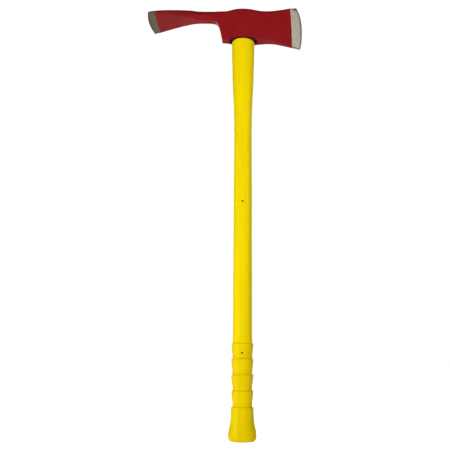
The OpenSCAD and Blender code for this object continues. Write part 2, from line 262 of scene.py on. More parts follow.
wide_top = table_curve(
    [[-HOE_REACH, HOE_W / 2], [-163, mix(NECK, HOE_W / 2, 0.70)],
     [-146, mix(NECK, HOE_W / 2, 0.52)], [-129, mix(NECK, HOE_W / 2, 0.33)],
     [-113, mix(NECK, HOE_W / 2, 0.16)], [-100, NECK + 1.2], [-88, NECK + 0.2],
     [-70, NECK], [-46, 10.6], [-40, 10.4], [-34, 11.2], [-28, 13.3],
     [-21, 16.0], [-14, EYE_T - 1.4], [-7, EYE_T - 0.2], [0, EYE_T],
     [9, EYE_T - 0.7], [17, 17.5], [22, 16.0], [30, 13.4], [38, 11.7],
     [47, 10.3], [60, 8.5], [80, 6.1], [BIT_LINE, 3.7]]
)
wide_low = table_curve(
    [[-70, NECK], [-60, 10.8], [-52, 9.2], [-44, 7.8], [-39, 8.4],
     [-31, 10.0], [-24, 12.8], [-16, 16.6], [-8, EYE_T - 0.5], [0, EYE_T],
     [9, EYE_T - 0.7], [17, 17.5], [30, 13.8], [42, 11.7], [60, 8.8],
     [80, 6.0], [BIT_LINE, 3.6]]
)


def ground(u, at_line):
    """Half-thickness of the ground bit: a flat bevel, eased at its shoulder, and a
    narrow honed bevel at the very edge."""
    s = (u - BIT_LINE) / BIT_BEVEL
    w = mix(at_line, 0.35, s)
    hone = 2.2
    d = BIT_REACH - u
    base = mix(at_line, 0.35, 1 - hone / BIT_BEVEL)
    return np.where(d < hone, mix(0.14, base, np.clip(d / hone, 0, 1)), w)


def wt(u):
    u = np.asarray(u, float)
    return np.where(u > BIT_LINE, ground(u, 3.7), wide_top(u))


def wl(u):
    u = np.asarray(u, float)
    return np.where(
        u > BIT_LINE, ground(u, 3.6), np.where(u < -70, wide_top(u), wide_low(u))
    )


rad_top = table_curve(
    [[-HOE_REACH, 0.2], [HOE_LINE, 1.2], [-129, 2.2], [-108, 4.5], [-92, 6.8],
     [-66, 6.5], [-50, 4], [-35, 3], [45, 2.6], [80, 2], [BIT_LINE, 1.2],
     [BIT_REACH, 0.2]]
)
rad_low = table_curve(
    [[-HOE_REACH, 0.2], [HOE_LINE, 1.6], [-129, 2.6], [-108, 5], [-92, 7.4],
     [-70, 7.2], [-58, 5], [-48, 3.6], [-40, 2.2], [45, 2.2], [80, 2],
     [BIT_LINE, 1.2], [BIT_REACH, 0.2]]
)
crown_t = table_curve(
    [[-HOE_REACH, 0], [-150, 0], [-110, 0.8], [-90, 1.4], [-66, 1.2], [-46, 0.3],
     [-35, 0], [BIT_REACH, 0]]
)
barrel = table_curve(
    [[-60, 0], [-40, 0.4], [0, 0.9], [40, 0.6], [90, 0.3], [BIT_LINE, 0],
     [BIT_REACH, 0]]
)


def backset(h):
    up = h > FULL_H
    v = np.where(up, (h - FULL_H) / (TOE_H - FULL_H), (FULL_H - h) / (FULL_H + HEEL))
    return np.where(up, TOE_SET, HEEL_SET) * (0.56 * v**2 + 0.44 * v**4)


def bend(u, y, h):
    f = np.clip((-168 - u) / (HOE_REACH - 168), 0, 1)
    g = np.clip((u - 90) / (BIT_REACH - 90), 0, 1)
    k = np.clip((u - 70) / (BIT_LINE - 70), 0, 1) * np.clip(
        (BIT_REACH - u) / BIT_BEVEL, 0, 1
    )
    return u + HOE_BOW * f * f * (2 * y / HOE_W) ** 2 - g * g * backset(h) - 0.045 * k * (h - 29)


def eye_y(u, grow=0.0):
    """Half-width of the eye hole at station u."""
    a, b = EYE_A + grow, EYE_B + grow
    return b * np.sqrt(np.clip(1 - (u / a) ** 2, 0, 1))


def toe_line(e):
    """Height at which the toe's facet starts, e mm back from the edge."""
    return TOE_H - 9.0 + 0.20 * e


# ---------------------------------------------------------------- the head
def head_stations():
    def seg(a, b, d):
        n = max(1, int(round((b - a) / d)))
        return [a + (b - a) * i / n for i in range(n)]

    c = EYE_A + 0.9
    us = []
    us += seg(-HOE_REACH, -HOE_REACH + 2.1, 0.35)
    us += seg(-HOE_REACH + 2.1, HOE_LINE - 0.35, 0.95)
    us += seg(HOE_LINE - 0.35, HOE_LINE + 0.35, 0.175)
    us += seg(HOE_LINE + 0.35, -110, 1.5)
    us += seg(-110, -66, 1.25)
    us += seg(-66, -55, 0.8)
    us += seg(-55, -49.5, 0.3)
    us += seg(-49.5, -44.8, 0.18)
    us += seg(-44.8, -42, 0.35)
    us += seg(-42, -c, 0.9)
    us += [-c * math.cos(math.pi * i / 96) for i in range(96)]
    us += seg(c, BIT_LINE - 0.35, 1.15)
    us += seg(BIT_LINE - 0.35, BIT_LINE + 0.35, 0.175)
    us += seg(BIT_LINE + 0.35, BIT_REACH - 2.2, 0.95)
    us += seg(BIT_REACH - 2.2, BIT_REACH, 0.275)
    us += [BIT_REACH]
    return np.array(us)


N_FLAT, N_COR, N_SIDE = 9, 8, 36


def head_section(u):
    """Half of each section at stations u, as arrays [station, point] of y, height and
    closeness to the upper edge, from the bottom centre round +Y to the top centre."""
    zt, zb = top_h(u)[:, None], low_h(u)[:, None]
    a, b = wt(u)[:, None], wl(u)[:, None]
    # the ground bevels meet the forged flanks in a small rounded shoulder
    rt = np.minimum(np.minimum(rad_top(u)[:, None], 0.44 * (zt - zb)), 0.8 * a)
    rb = np.minimum(np.minimum(rad_low(u)[:, None], 0.44 * (zt - zb)), 0.8 * b)
    ct = crown_t(u)[:, None]
    bl = np.where(u < -60, 0, barrel(u))[:, None]
    # the eye hole opens the flat top and the flat underside
    c = EYE_A + 0.9
    y0 = np.where(np.abs(u) < c, eye_y(u, 0.9), 0.0)[:, None]
    s = (np.arange(N_FLAT) / N_FLAT)[None, :]
    y1 = mix(y0, b - rb, s)
    h1 = zb + 0 * y1
    w = (np.arange(N_COR + 1) / N_COR * math.pi / 2)[None, :]
    y2, h2 = b - rb + rb * np.sin(w), zb + rb - rb * np.cos(w)
    s = (np.arange(1, N_SIDE) / N_SIDE)[None, :]
    s = mix(s, (1 - np.cos(math.pi * s)) / 2, 0.75)
    y3 = mix(b, a, s) + 4 * s * (1 - s) * bl
    h3 = mix(zb + rb, zt - ct - rt, s)
    y4, h4 = a - rt + rt * np.cos(w), zt - ct - rt + rt * np.sin(w)
    s = (np.arange(N_FLAT - 1, -1, -1) / N_FLAT)[None, :]
    y5 = mix(y0, a - rt, s)
    q = y5 / np.maximum(a - rt, 1e-6)
    h5 = zt - ct * q * q
    near = lambda d: np.clip(1 - d / 1.4, 0, 1)
    over = 1 - step(0.9, 1.5, w)
    rim = [0 * y1, 0 * y2, near(zt - ct - rt - h3), over + 0 * y4, 0 * y5]
    y, h = np.hstack([y1, y2, y3, y4, y5]), np.hstack([h1, h2, h3, h4, h5])
    # the toe of the bit is ground back in a facet that widens towards the edge
    e = np.maximum(BIT_REACH - u, 0)[:, None]
    f = np.clip((h - toe_line(e)) / (zt - toe_line(e)), 0, 1)
    f = f * step(BIT_LINE, BIT_LINE + 8, u)[:, None]
    y = y * (1 - 0.42 * f)
    return y, h, np.hstack(rim)


def make_head():
    us = head_stations()
    y, h, rim = head_section(us)
    nu, nh = y.shape
    U = np.repeat(us[:, None], nh, 1)
    # forging leaves the skin very slightly uneven, and grinding leaves the bevels flat
    forged = step(HOE_LINE + 1, HOE_LINE + 9, U) * (1 - step(BIT_LINE - 9, BIT_LINE - 1, U))
    flat_seat = 1 - (step(-44, -38, U) * (1 - step(44, 60, U))) * (h < 1.0)
    side_share = np.zeros_like(y)
    side_share[:, N_FLAT + 2 : N_FLAT + N_COR + N_SIDE + N_COR - 2] = 1.0
    b = Build()

    def place(sign):
        X = bend(U, y, h)
        P = np.stack([X, sign * y, SEAT + h], -1)
        n = (
            0.16 * value_noise(P, 26.0)
            + 0.075 * value_noise(P + 91.0, 11.0)
            + 0.035 * value_noise(P + 37.0, 5.0)
        )
        amp = n * forged * flat_seat
        # moved along the section's own outward normal
        dy = np.gradient(y, axis=1)
        dh = np.gradient(h, axis=1)
        ln = np.maximum(np.hypot(dy, dh), 1e-9)
        ny, nz = dh / ln, -dy / ln
        keep = step(0.0, 2.5, np.abs(y)) * side_share
        P[..., 1] += sign * ny * amp * keep
        P[..., 2] += nz * amp * keep * 0.6
        return P

    left, right = place(1.0), place(-1.0)
    # distances used by the materials, in mm
    vals = dict(su=U, sh=h, sy=y, rim=rim)
    iL = (np.arange(nu * nh) + b.add(left, **vals)).reshape(nu, nh)
    iR = (np.arange(nu * nh) + b.add(right, **vals)).reshape(nu, nh)

    # UV: along the head across the map, round the section up the map
    arc = np.concatenate([[0], np.cumsum(np.hypot(np.diff(us), np.diff(low_h(us)) * 0.3))])
    cu = 0.004 + 0.992 * arc / arc[-1]
    seg = np.hypot(np.diff(y, axis=1), np.diff(h, axis=1)).max(0) + 0.05
    cv = np.concatenate([[0], np.cumsum(seg)])
    cv = cv / cv[-1]
    uu = np.repeat(cu[:, None], nh, 1)
    vL = np.repeat((0.436 + 0.424 * (1 - cv))[None, :], nu, 0)
    vR = np.repeat((0.004 + 0.424 * cv)[None, :], nu, 0)
    grid_faces(b, iL, uu, vL)
    grid_faces(b, iR, uu, vR, flip=True)

    # caps at the two cutting edges
    def cap(i, u0, v0, flip):
        n = nh
        for j in range(n - 1):
            q = [iL[i, j], iL[i, j + 1], iR[i, j + 1], iR[i, j]]
            t = [
                (u0 + 0.01, v0 + 0.05 * j / n),
                (u0 + 0.01, v0 + 0.05 * (j + 1) / n),
                (u0, v0 + 0.05 * (j + 1) / n),
                (u0, v0 + 0.05 * j / n),
            ]
            if flip:
                q.reverse(), t.reverse()
            b.face(q, t)

    cap(0, 0.90, 0.90, True)
    cap(nu - 1, 0.95, 0.90, False)

    # the wall of the eye, with a small chamfer at its top and bottom
    c = EYE_A + 0.9
    k = [i for i in range(nu) if abs(us[i]) <= c + 1e-6]
    th = np.arccos(np.clip(us[k] / c, -1, 1))
    wall_h = np.concatenate([[0.9], np.linspace(3, EYE_H - 3, 12), [EYE_H - 0.9]])
    for sign, I, u0 in ((1.0, iL, 0.004), (-1.0, iR, 0.34)):
        bottom = I[k, 0]
        top = I[k, nh - 1]
        rows = [bottom]
        for hh in wall_h:
            pts = np.stack(
                [EYE_A * np.cos(th), sign * EYE_B * np.sin(th), np.full(len(k), SEAT + hh)], -1
            )
            s0 = b.add(pts, su=pts[:, 0], sh=hh, sy=0.0, rim=0.0)
            rows.append(np.arange(s0, s0 + len(k)))
        rows.append(top)
        idx = np.array(rows)
        gu = np.repeat((u0 + 0.32 * np.arange(len(k)) / (len(k) - 1))[None, :], len(rows), 0)
        gv = np.repeat((0.87 + 0.12 * np.arange(len(rows)) / (len(rows) - 1))[:, None], len(k), 1)
        grid_faces(b, idx, gu, gv, flip=sign > 0)
    return b.make("axe_head", merge=2e-7)


# ---------------------------------------------------------------- tubes
def even_params(a, b, pw, n, extra=()):
    """n parameters round an oval, evenly spaced along it, mirror-symmetric about both
    axes, with extra ones beside the mould's parting line."""
    w = np.linspace(0, math.pi / 2, 4001)
    x, y = oval_ring(a, b, pw, w)
    s = np.concatenate([[0], np.cumsum(np.hypot(np.diff(x), np.diff(y)))])
    q = np.interp(np.linspace(0, s[-1], n // 4 + 1), s, w)
    for e in extra:
        q = np.append(q, np.interp(e, s, w))
    q = np.unique(np.round(q, 9))
    quarter = q[:-1] if abs(q[-1] - math.pi / 2) < 1e-7 else q
    out = np.concatenate(
        [quarter, [math.pi / 2], math.pi - quarter[::-1]]
    )
    out = np.concatenate([out[:-1], [math.pi], 2 * math.pi - out[1:-1][::-1]])
    return np.unique(np.round(out, 9))


def tube(name, outer, inner, w, hole=None, seam=0.0, wobble=0.0, uv_split=0.72):
    """A hollow body of oval rows. outer and inner are lists of (z, half-width,
    half-depth, power) with an optional crease value for dirt and painted shade, bottom to top.
    hole is (z, radius, half-height of its block, columns each side)."""
    b = Build()
    n = len(w)
    W = np.append(w, w[0] + 2 * math.pi)
    grids = []
    for kind, rows in (("out", outer), ("in", inner)):
        R = np.array([tuple(r) + (0.0,) * (5 - len(r)) for r in rows], float)
        x = np.empty((len(R), n))
        y = np.empty((len(R), n))
        for i, (z, a, bb, p, _) in enumerate(R):
            x[i], y[i] = oval_ring(a, bb, p, w)
        z = np.repeat(R[:, :1], n, 1)
        if kind == "out" and seam:
            ridge = seam * np.exp(-((y / 0.42) ** 2)) * (np.abs(x) > R[:, 1:2] * 0.5)
            x = x + np.sign(x) * ridge
        if kind == "out" and wobble:
            P = np.stack([x, y, z * 0.35], -1)
            q = wobble * value_noise(P + 13.0, 17.0)
            ln = np.hypot(x, y)
            x, y = x * (1 + q / ln), y * (1 + q / ln)
        P = np.stack([x, y, z], -1)
        grids.append((R, P))
    idx = []
    for kind, (R, P) in zip(("out", "in"), grids):
        s0 = b.add(P, inside=0.0 if kind == "out" else 1.0,
                   crease=np.repeat(R[:, 4:5], n, 1))
        idx.append((np.arange(P.shape[0] * n) + s0).reshape(P.shape[0], n))

    def uvs(R, v0, v1):
        s = np.concatenate(
            [[0], np.cumsum(np.hypot(np.diff(R[:, 0]), np.diff(R[:, 1])) + 0.02)]
        )
        v = v0 + (v1 - v0) * s / s[-1]
        u = 0.004 + 0.992 * (W - W[0]) / (2 * math.pi)
        return np.repeat(u[None, :], len(R), 0), np.repeat(v[:, None], n + 1, 1)

    uo, vo = uvs(grids[0][0], 0.004, uv_split)
    ui, vi = uvs(grids[1][0], uv_split + 0.02, 0.996)
    skips = [None, None]
    blocks = []
    if hole:
        zc, r, half, reach = hole
        for g in (0, 1):
            R, P = grids[g]
            rr = [i for i in range(len(R)) if abs(R[i, 0] - zc) <= half + 1e-6]
            blocks.append(rr)
        skips = [
            np.zeros((len(grids[0][0]) - 1, n), bool),
            np.zeros((len(grids[1][0]) - 1, n), bool),
        ]
    cut = []
    if hole:
        for side in (1.0, -1.0):
            mid = int(np.argmin(np.abs(w - (math.pi / 2 if side > 0 else 1.5 * math.pi))))
            cols = list(range(mid - reach, mid + reach + 1))
            for g in (0, 1):
                rr = blocks[g]
                skips[g][rr[0] : rr[-1], cols[0] : cols[-1]] = True
            cut.append((side, cols))
    grid_faces(b, idx[0], uo, vo, wrap=True, skip=skips[0])
    grid_faces(b, idx[1], ui, vi, wrap=True, skip=skips[1], flip=True)
    # the two ends
    for e, v0 in ((0, uv_split + 0.004), (-1, uv_split + 0.012)):
        ends = np.array([idx[0][e], idx[1][e]])
        gu = np.vstack([uo[e], uo[e]])
        gv = np.vstack([np.full(n + 1, v0), np.full(n + 1, v0 + 0.004)])
        grid_faces(b, ends, gu, gv, wrap=True, flip=(e == 0))
    # the holes: rings run from a block of the grid in to the circle
    for side, cols in cut:
        loops = []
        for g in (0, 1):
            R, P = grids[g]
            rr = blocks[g]
            ij = (
                [(rr[0], c) for c in cols[:-1]]
                + [(r_, cols[-1]) for r_ in rr[:-1]]
                + [(rr[-1], c) for c in cols[:0:-1]]
                + [(r_, cols[0]) for r_ in rr[:0:-1]]
            )
            base = np.array([P[i, j] for i, j in ij])
            start = np.array([idx[g][i, j] for i, j in ij])
            tex = np.array(
                [((uo, vo), (ui, vi))[g][0][i, j] for i, j in ij]
            ), np.array([((uo, vo), (ui, vi))[g][1][i, j] for i, j in ij])
            ang = np.arctan2(base[:, 2] - zc, base[:, 0])
            a_of = lambda z: np.interp(z, R[:, 0], R[:, 1])
            b_of = lambda z: np.interp(z, R[:, 0], R[:, 2])
            p = R[rr[0], 3]

            def onto(x, z):
                t = np.clip(np.abs(x) / a_of(z), 0, 1)
                return side * b_of(z) * (1 - t**p) ** (1 / p)

            cham = 0.45 if g == 0 else 0.0
            rings = [start]
            radii = []
            for s in (0.34, 0.62, 0.84, 1.0):
                tx = (r + cham) * np.cos(ang)
                tz = zc + (r + cham) * np.sin(ang)
                x = mix(base[:, 0], tx, s)
                z = mix(base[:, 2], tz, s)
                # the first rings take up what little the wobble moved the skin
                lift = (base[:, 1] - onto(base[:, 0], base[:, 2])) * (1 - s)
                yy = onto(x, z) + lift
                s0 = b.add(np.stack([x, yy, z], -1), inside=float(g), crease=0.0)
                rings.append(np.arange(s0, s0 + len(ang)))
                radii.append((x, z))
            if g == 0:
                x, z = (r + 0.12) * np.cos(ang), zc + (r + 0.12) * np.sin(ang)
                s0 = b.add(np.stack([x, onto(x, z) - side * 0.16, z], -1), inside=0.3, crease=0.0)
                rings.append(np.arange(s0, s0 + len(ang)))
                x, z = r * np.cos(ang), zc + r * np.sin(ang)
                s0 = b.add(np.stack([x, onto(x, z) - side * 0.5, z], -1), inside=0.8, crease=0.0)
                rings.append(np.arange(s0, s0 + len(ang)))
            uu, vv = tex
            cu_, cv_ = uu.mean(), vv.mean()
            m = len(rings)
            gu = np.array([mix(uu, cu_, 0.8 * i / (m - 1)) for i in range(m)])
            gv = np.array([mix(vv, cv_, 0.8 * i / (m - 1)) for i in range(m)])
            gu = np.hstack([gu, gu[:, :1]])
            gv = np.hstack([gv, gv[:, :1]])
            grid_faces(b, np.array(rings), gu, gv, wrap=True)
            loops.append((rings[-1], gu[-1], gv[-1], cu_, cv_))
        (o, gu0, gv0, cu_, cv_), (i_, _, _, _, _) = loops
        wall = np.array([o, i_])
        gu = np.vstack([gu0, mix(gu0, cu_, 0.6)])
        gv = np.vstack([gv0, mix(gv0, cv_, 0.6)])
        grid_faces(b, wall, gu, gv, wrap=True)
    return b.make(name, merge=2e-7)


# ---------------------------------------------------------------- the jacket
jk_a = table_curve(
    [[GRIP_TOP, SHAFT_A + 0.9], [GRIP_TOP + 8, SHAFT_A + 0.55],
     [232, SHAFT_A + 0.3], [262, SHAFT_A + 0.15], [340, SHAFT_A - 0.1],
     [430, SHAFT_A - 0.6], [500, SHAFT_A - 0.7], [580, WAIST_A + 0.45],
     [SEAT - 210, WAIST_A], [SEAT - 150, WAIST_A + 0.5],
     [SEAT - 128, mix(WAIST_A, COLLAR_A, 0.28)],
     [SEAT - 95, mix(WAIST_A, COLLAR_A, 0.60)],
     [SEAT - 62, mix(WAIST_A, COLLAR_A, 0.78)],
     [SEAT - 43, mix(WAIST_A, COLLAR_A, 0.90)],
     [SEAT - 18, COLLAR_A - 0.2], [SEAT, COLLAR_A]]
)
jk_b = table_curve(
    [[GRIP_TOP, 15.7], [340, 15.4], [500, 15.1], [SEAT - 210, 14.7],
     [SEAT - 150, mix(14.7, COLLAR_B, 0.18)],
     [SEAT - 95, mix(14.7, COLLAR_B, 0.62)],
     [SEAT - 43, mix(14.7, COLLAR_B, 0.92)], [SEAT, COLLAR_B]]
)


def jk_p(z):
    return mix(HPOW, 2.0, float(np.clip((z - (SEAT - 150)) / 130, 0, 1)))


def make_jacket():
    outer = [(LAP_Z, LAP_A - 1, LAP_B - 1, HPOW), (LAP_Z + 0.5, LAP_A - 0.3, LAP_B - 0.3, HPOW),
             (LAP_Z + 1, LAP_A, LAP_B, HPOW), (GRIP_TOP - 4, LAP_A, LAP_B, HPOW),
             (GRIP_TOP - 1.05, LAP_A, LAP_B, HPOW)]
    zs = [GRIP_TOP - 1.0, GRIP_TOP - 0.4, GRIP_TOP + 0.4]
    z = GRIP_TOP + 2.0
    while z < JACKET_TOP - COLLAR_RZ - 0.6:
        if abs(z - PIN_HI) < 9:
            z = PIN_HI - 6
            zs += [PIN_HI + d for d in (-6, -4.5, -3, -1.5, 0, 1.5, 3, 4.5, 6)]
            z = PIN_HI + 9
            continue
        zs.append(z)
        z += 3.0 if z < SEAT - 160 else 1.5
    outer += [(z, float(jk_a(z)), float(jk_b(z)), jk_p(z)) for z in zs]
    for i in range(15):
        t = math.radians(84 * i / 14)
        z = JACKET_TOP - COLLAR_RZ + COLLAR_RZ * math.sin(t)
        d = 1 - math.cos(t)
        outer.append((z, float(jk_a(z)) - COLLAR_RA * d, float(jk_b(z)) - COLLAR_R * d, jk_p(z)))
    outer.append((JACKET_TOP, COLLAR_A - COLLAR_RA - 0.1, COLLAR_B - COLLAR_R - 0.1, jk_p(JACKET_TOP)))
    inner = [(z, CORE_A + FIT, CORE_B + FIT, CORE_POW)
             for z in [LAP_Z, 240, 300, 360, 420, 470]
             + [PIN_HI + d for d in (-6, -4.5, -3, -1.5, 0, 1.5, 3, 4.5, 6)]
             + [560, 620, 680, 740, 800, JACKET_TOP]]
    w = even_params(20.2, 15.4, HPOW, 144, extra=(0.22, 0.5, 0.85))
    mid = int(np.argmin(np.abs(w - math.pi / 2)))
    x = 20.2 * spow(np.cos(w), 2 / HPOW)
    reach = int(np.argmin(np.abs(x[:mid] - 5.6)))
    return tube("shaft_jacket_skin", outer, inner, w, hole=(PIN_HI, PIN_R, 6.0, mid - reach),
                seam=0.13, wobble=0.06)


# ---------------------------------------------------------------- the grip
def ring_z(i):
    v = i / RINGS
    return mix(GRIP_LOW, GRIP_TOP, v + 0.045 * v * (1 - v))


def grip_rows():
    """Outer rows of the grip: rounded knob, flare, then the tapering rings with
    rounded shoulders and a tight fillet at each foot."""
    knob_a = table_curve(
        [[KNOB_R, KNOB_A - 0.1], [KNOB_R + 3, KNOB_A], [15.5, KNOB_A - 0.1],
         [19.5, KNOB_A - 0.35], [23.5, mix(24.5, KNOB_A, 0.83)],
         [28, mix(24.5, KNOB_A, 0.67)], [32.2, mix(24.5, KNOB_A, 0.51)],
         [36.5, mix(24.5, KNOB_A, 0.35)], [41, mix(24.5, KNOB_A, 0.24)],
         [46, mix(24.5, KNOB_A, 0.16)], [54, mix(24.5, KNOB_A, 0.07)],
         [60, 24.6], [GRIP_LOW - 3, 24.4]]
    )
    knob_b = table_curve(
        [[KNOB_R, KNOB_B - 0.1], [KNOB_R + 3, KNOB_B], [15.5, KNOB_B - 0.1],
         [19.5, KNOB_B - 0.4], [23.5, mix(18.8, KNOB_B, 0.80)],
         [28, mix(18.8, KNOB_B, 0.62)], [32.2, mix(18.8, KNOB_B, 0.45)],
         [36.5, mix(18.8, KNOB_B, 0.30)], [41, mix(18.8, KNOB_B, 0.20)],
         [46, mix(18.8, KNOB_B, 0.13)], [54, 18.9], [60, 18.8],
         [GRIP_LOW - 3, 18.7]]
    )
    rows = []
    for i in range(15):
        t = math.radians(84 * i / 14)
        d = KNOB_R * (1 - math.sin(t))
        rows.append((KNOB_R * (1 - math.cos(t)), KNOB_A - 0.1 - d, KNOB_B - 0.1 - d, HPOW))
    z = KNOB_R
    while z < GRIP_LOW - 3.2:
        rows.append((z, float(knob_a(z)), float(knob_b(z)), HPOW))
        z += 1.5

    def shoulder(zt, a, b_):
        """A rounded top edge, 3 mm high and about 1.6 mm deep, ending level at zt."""
        out = []
        for i in range(9):
            t = math.radians(90 * i / 8)
            out.append((zt - 2.4 + 2.3 * math.sin(t), a - 1.55 * (1 - math.cos(t)),
                        b_ - 1.55 * (1 - math.cos(t)), HPOW, math.exp((i - 8) / 1.3)))
        return out

    rows += shoulder(GRIP_LOW, 24.4, 18.7)
    for i in range(RINGS):
        zb, zt = ring_z(i), ring_z(i + 1)
        a = RING_A + 0.24 * (RINGS - 1 - i)
        fa = RING_FOOT + 0.1 + 0.1 * (RINGS - 1 - i)
        hgt = zt - zb
        n = 20
        seq = []
        for j in range(n + 1):
            u = 0.84 * j / n
            s = u**1.6
            seq.append((zb + 0.02 + (hgt - 3.05) * u, mix(fa, a, s), mix(fa, a, s) - 5, HPOW,
                        math.exp(-(hgt - 3.05) * u / 1.3)))
        zl, al = seq[-1][0], seq[-1][1]
        rows += seq
        for j in (0.33, 0.66):
            rows.append((mix(zl, zt - 2.4, j), mix(al, a, j), mix(al, a, j) - 5, HPOW))
        rows += shoulder(zt, a, a - 5)
    return [tuple(r) + (0.0,) * (5 - len(r)) for r in rows]


def make_grip():
    outer = grip_rows()
    # even rows beside the locating hole, so that its rings start from a square block
    R = np.array(outer)
    f_a = lambda z: float(np.interp(z, R[:, 0], R[:, 1]))
    f_b = lambda z: float(np.interp(z, R[:, 0], R[:, 2]))
    marks = [PIN_LO + d for d in (-6, -4.5, -3, -1.5, 0, 1.5, 3, 4.5, 6)]
    outer = [r for r in outer if abs(r[0] - PIN_LO) > 6.8] + [
        (z, f_a(z), f_b(z), HPOW, 0.0) for z in marks
    ]
    outer.sort(key=lambda r: r[0])
    # a lip of the grip stands over the jacket's end
    outer = [r for r in outer if r[0] < GRIP_TOP - 0.09]
    outer.append((GRIP_TOP, RING_A - 2.05, RING_A - 7.05, HPOW, 1.0))
    bore = [(z, CORE_A + FIT, CORE_B + FIT, CORE_POW)
            for z in [PLUG_H + 0.05, 40, 70, 100, 130, 160] + marks + [LAP_Z - 0.1]]
    inner = [(0.0, PLUG_A + 0.45, PLUG_B + 0.45, 2.0), (0.5, PLUG_A + FIT, PLUG_B + FIT, 2.0),
             (6.0, PLUG_A + FIT, PLUG_B + FIT, 2.0), (PLUG_H + 0.04, PLUG_A + FIT, PLUG_B + FIT, 2.0)]
    inner += bore
    inner += [(LAP_Z - 0.09, LAP_A + 0.04, LAP_B + 0.04, HPOW),
              (GRIP_TOP - 5, LAP_A + 0.04, LAP_B + 0.04, HPOW),
              (GRIP_TOP, LAP_A + 0.04, LAP_B + 0.04, HPOW)]
    w = even_params(23.4, 18.4, HPOW, 144, extra=(0.22, 0.5, 0.85))
    mid = int(np.argmin(np.abs(w - math.pi / 2)))
    x = 23.4 * spow(np.cos(w), 2 / HPOW)
    reach = int(np.argmin(np.abs(x[:mid] - 5.6)))
    return tube("grip_sleeve", outer, inner, w, hole=(PIN_LO, PIN_R, 6.0, mid - reach),
                seam=0.13, wobble=0.05)


# ---------------------------------------------------------------- core, resin, seal, plug
def solid_rows(name, rows, w, top_fn=None, bottom_fn=None, caps=10):
    """A solid with rows (z, a, b, power) and fine caps at both ends."""
    b = Build()
    n = len(w)
    R = np.array(rows, float)
    P = np.empty((len(R), n, 3))
    for i, (z, a, bb, p) in enumerate(R):
        P[i, :, 0], P[i, :, 1] = oval_ring(a, bb, p, w)
        P[i, :, 2] = z
    idx = (np.arange(len(R) * n) + b.add(P, rim=0.0)).reshape(len(R), n)
    W = np.append(w, w[0] + 2 * math.pi)
    s = np.concatenate([[0], np.cumsum(np.hypot(np.diff(R[:, 0]), np.diff(R[:, 1])) + 0.01)])
    u = np.repeat((0.004 + 0.992 * (W - W[0]) / (2 * math.pi))[None, :], len(R), 0)
    v = np.repeat((0.004 + 0.646 * s / s[-1])[:, None], n + 1, 1)
    grid_faces(b, idx, u, v, wrap=True)
    for e, fn, cx in ((0, bottom_fn, 0.2), (-1, top_fn, 0.6)):
        edge = P[e]
        rings = [idx[e]]
        for k in range(1, caps):
            t = 1 - k / caps
            q = edge.copy()
            q[:, :2] *= t
            if fn is not None:
                q[:, 2] += fn(q[:, 0], q[:, 1], t)
            s0 = b.add(q, rim=0.0)
            rings.append(np.arange(s0, s0 + n))
        c = np.array([[0, 0, edge[0, 2]]])
        if fn is not None:
            c[:, 2] += fn(c[:, 0], c[:, 1], 0.0)
        ci = b.add(c, rim=0.0)
        g = np.array(rings)
        ext = np.abs(edge[:, :2]).max()
        q = np.vstack([edge, edge[:1]])
        gu = np.array([cx + 0.16 * q[:, 0] / ext * (1 - k / caps) for k in range(caps)])
        gv = np.array([0.825 + 0.16 * q[:, 1] / ext * (1 - k / caps) for k in range(caps)])
        grid_faces(b, g, gu, gv, wrap=True, flip=(e == 0))
        last = rings[-1]
        for j in range(n):
            k = (j + 1) % n
            tri = [last[j], last[k], ci]
            t = [(gu[-1, j], gv[-1, j]), (gu[-1, j + 1], gv[-1, j + 1]), (cx, 0.825)]
            if e == 0:
                tri.reverse(), t.reverse()
            b.face(tri, t)
    return b.make(name)


def make_core():
    top = SEAT + EYE_H - FILL_RECESS + 0.6
    zs = [CORE_BOTTOM, CORE_BOTTOM + 0.4] + list(np.linspace(20, 900, 60)) + [top - 0.35, top]
    rows = []
    for z in zs:
        d = 0.3 if z in (CORE_BOTTOM, top) else 0.0
        rows.append((z, CORE_A - d, CORE_B - d, CORE_POW))
    w = even_params(CORE_A, CORE_B, CORE_POW, 96)

    def sawn(x, y, t):
        p = np.stack([x * 0.35, y * 3.0, 0 * x], -1)
        return 0.05 * value_noise(p, 1.7) * step(1.0, 0.9, t)

    return solid_rows("core_rod_end", rows, w, top_fn=sawn, bottom_fn=sawn, caps=16)


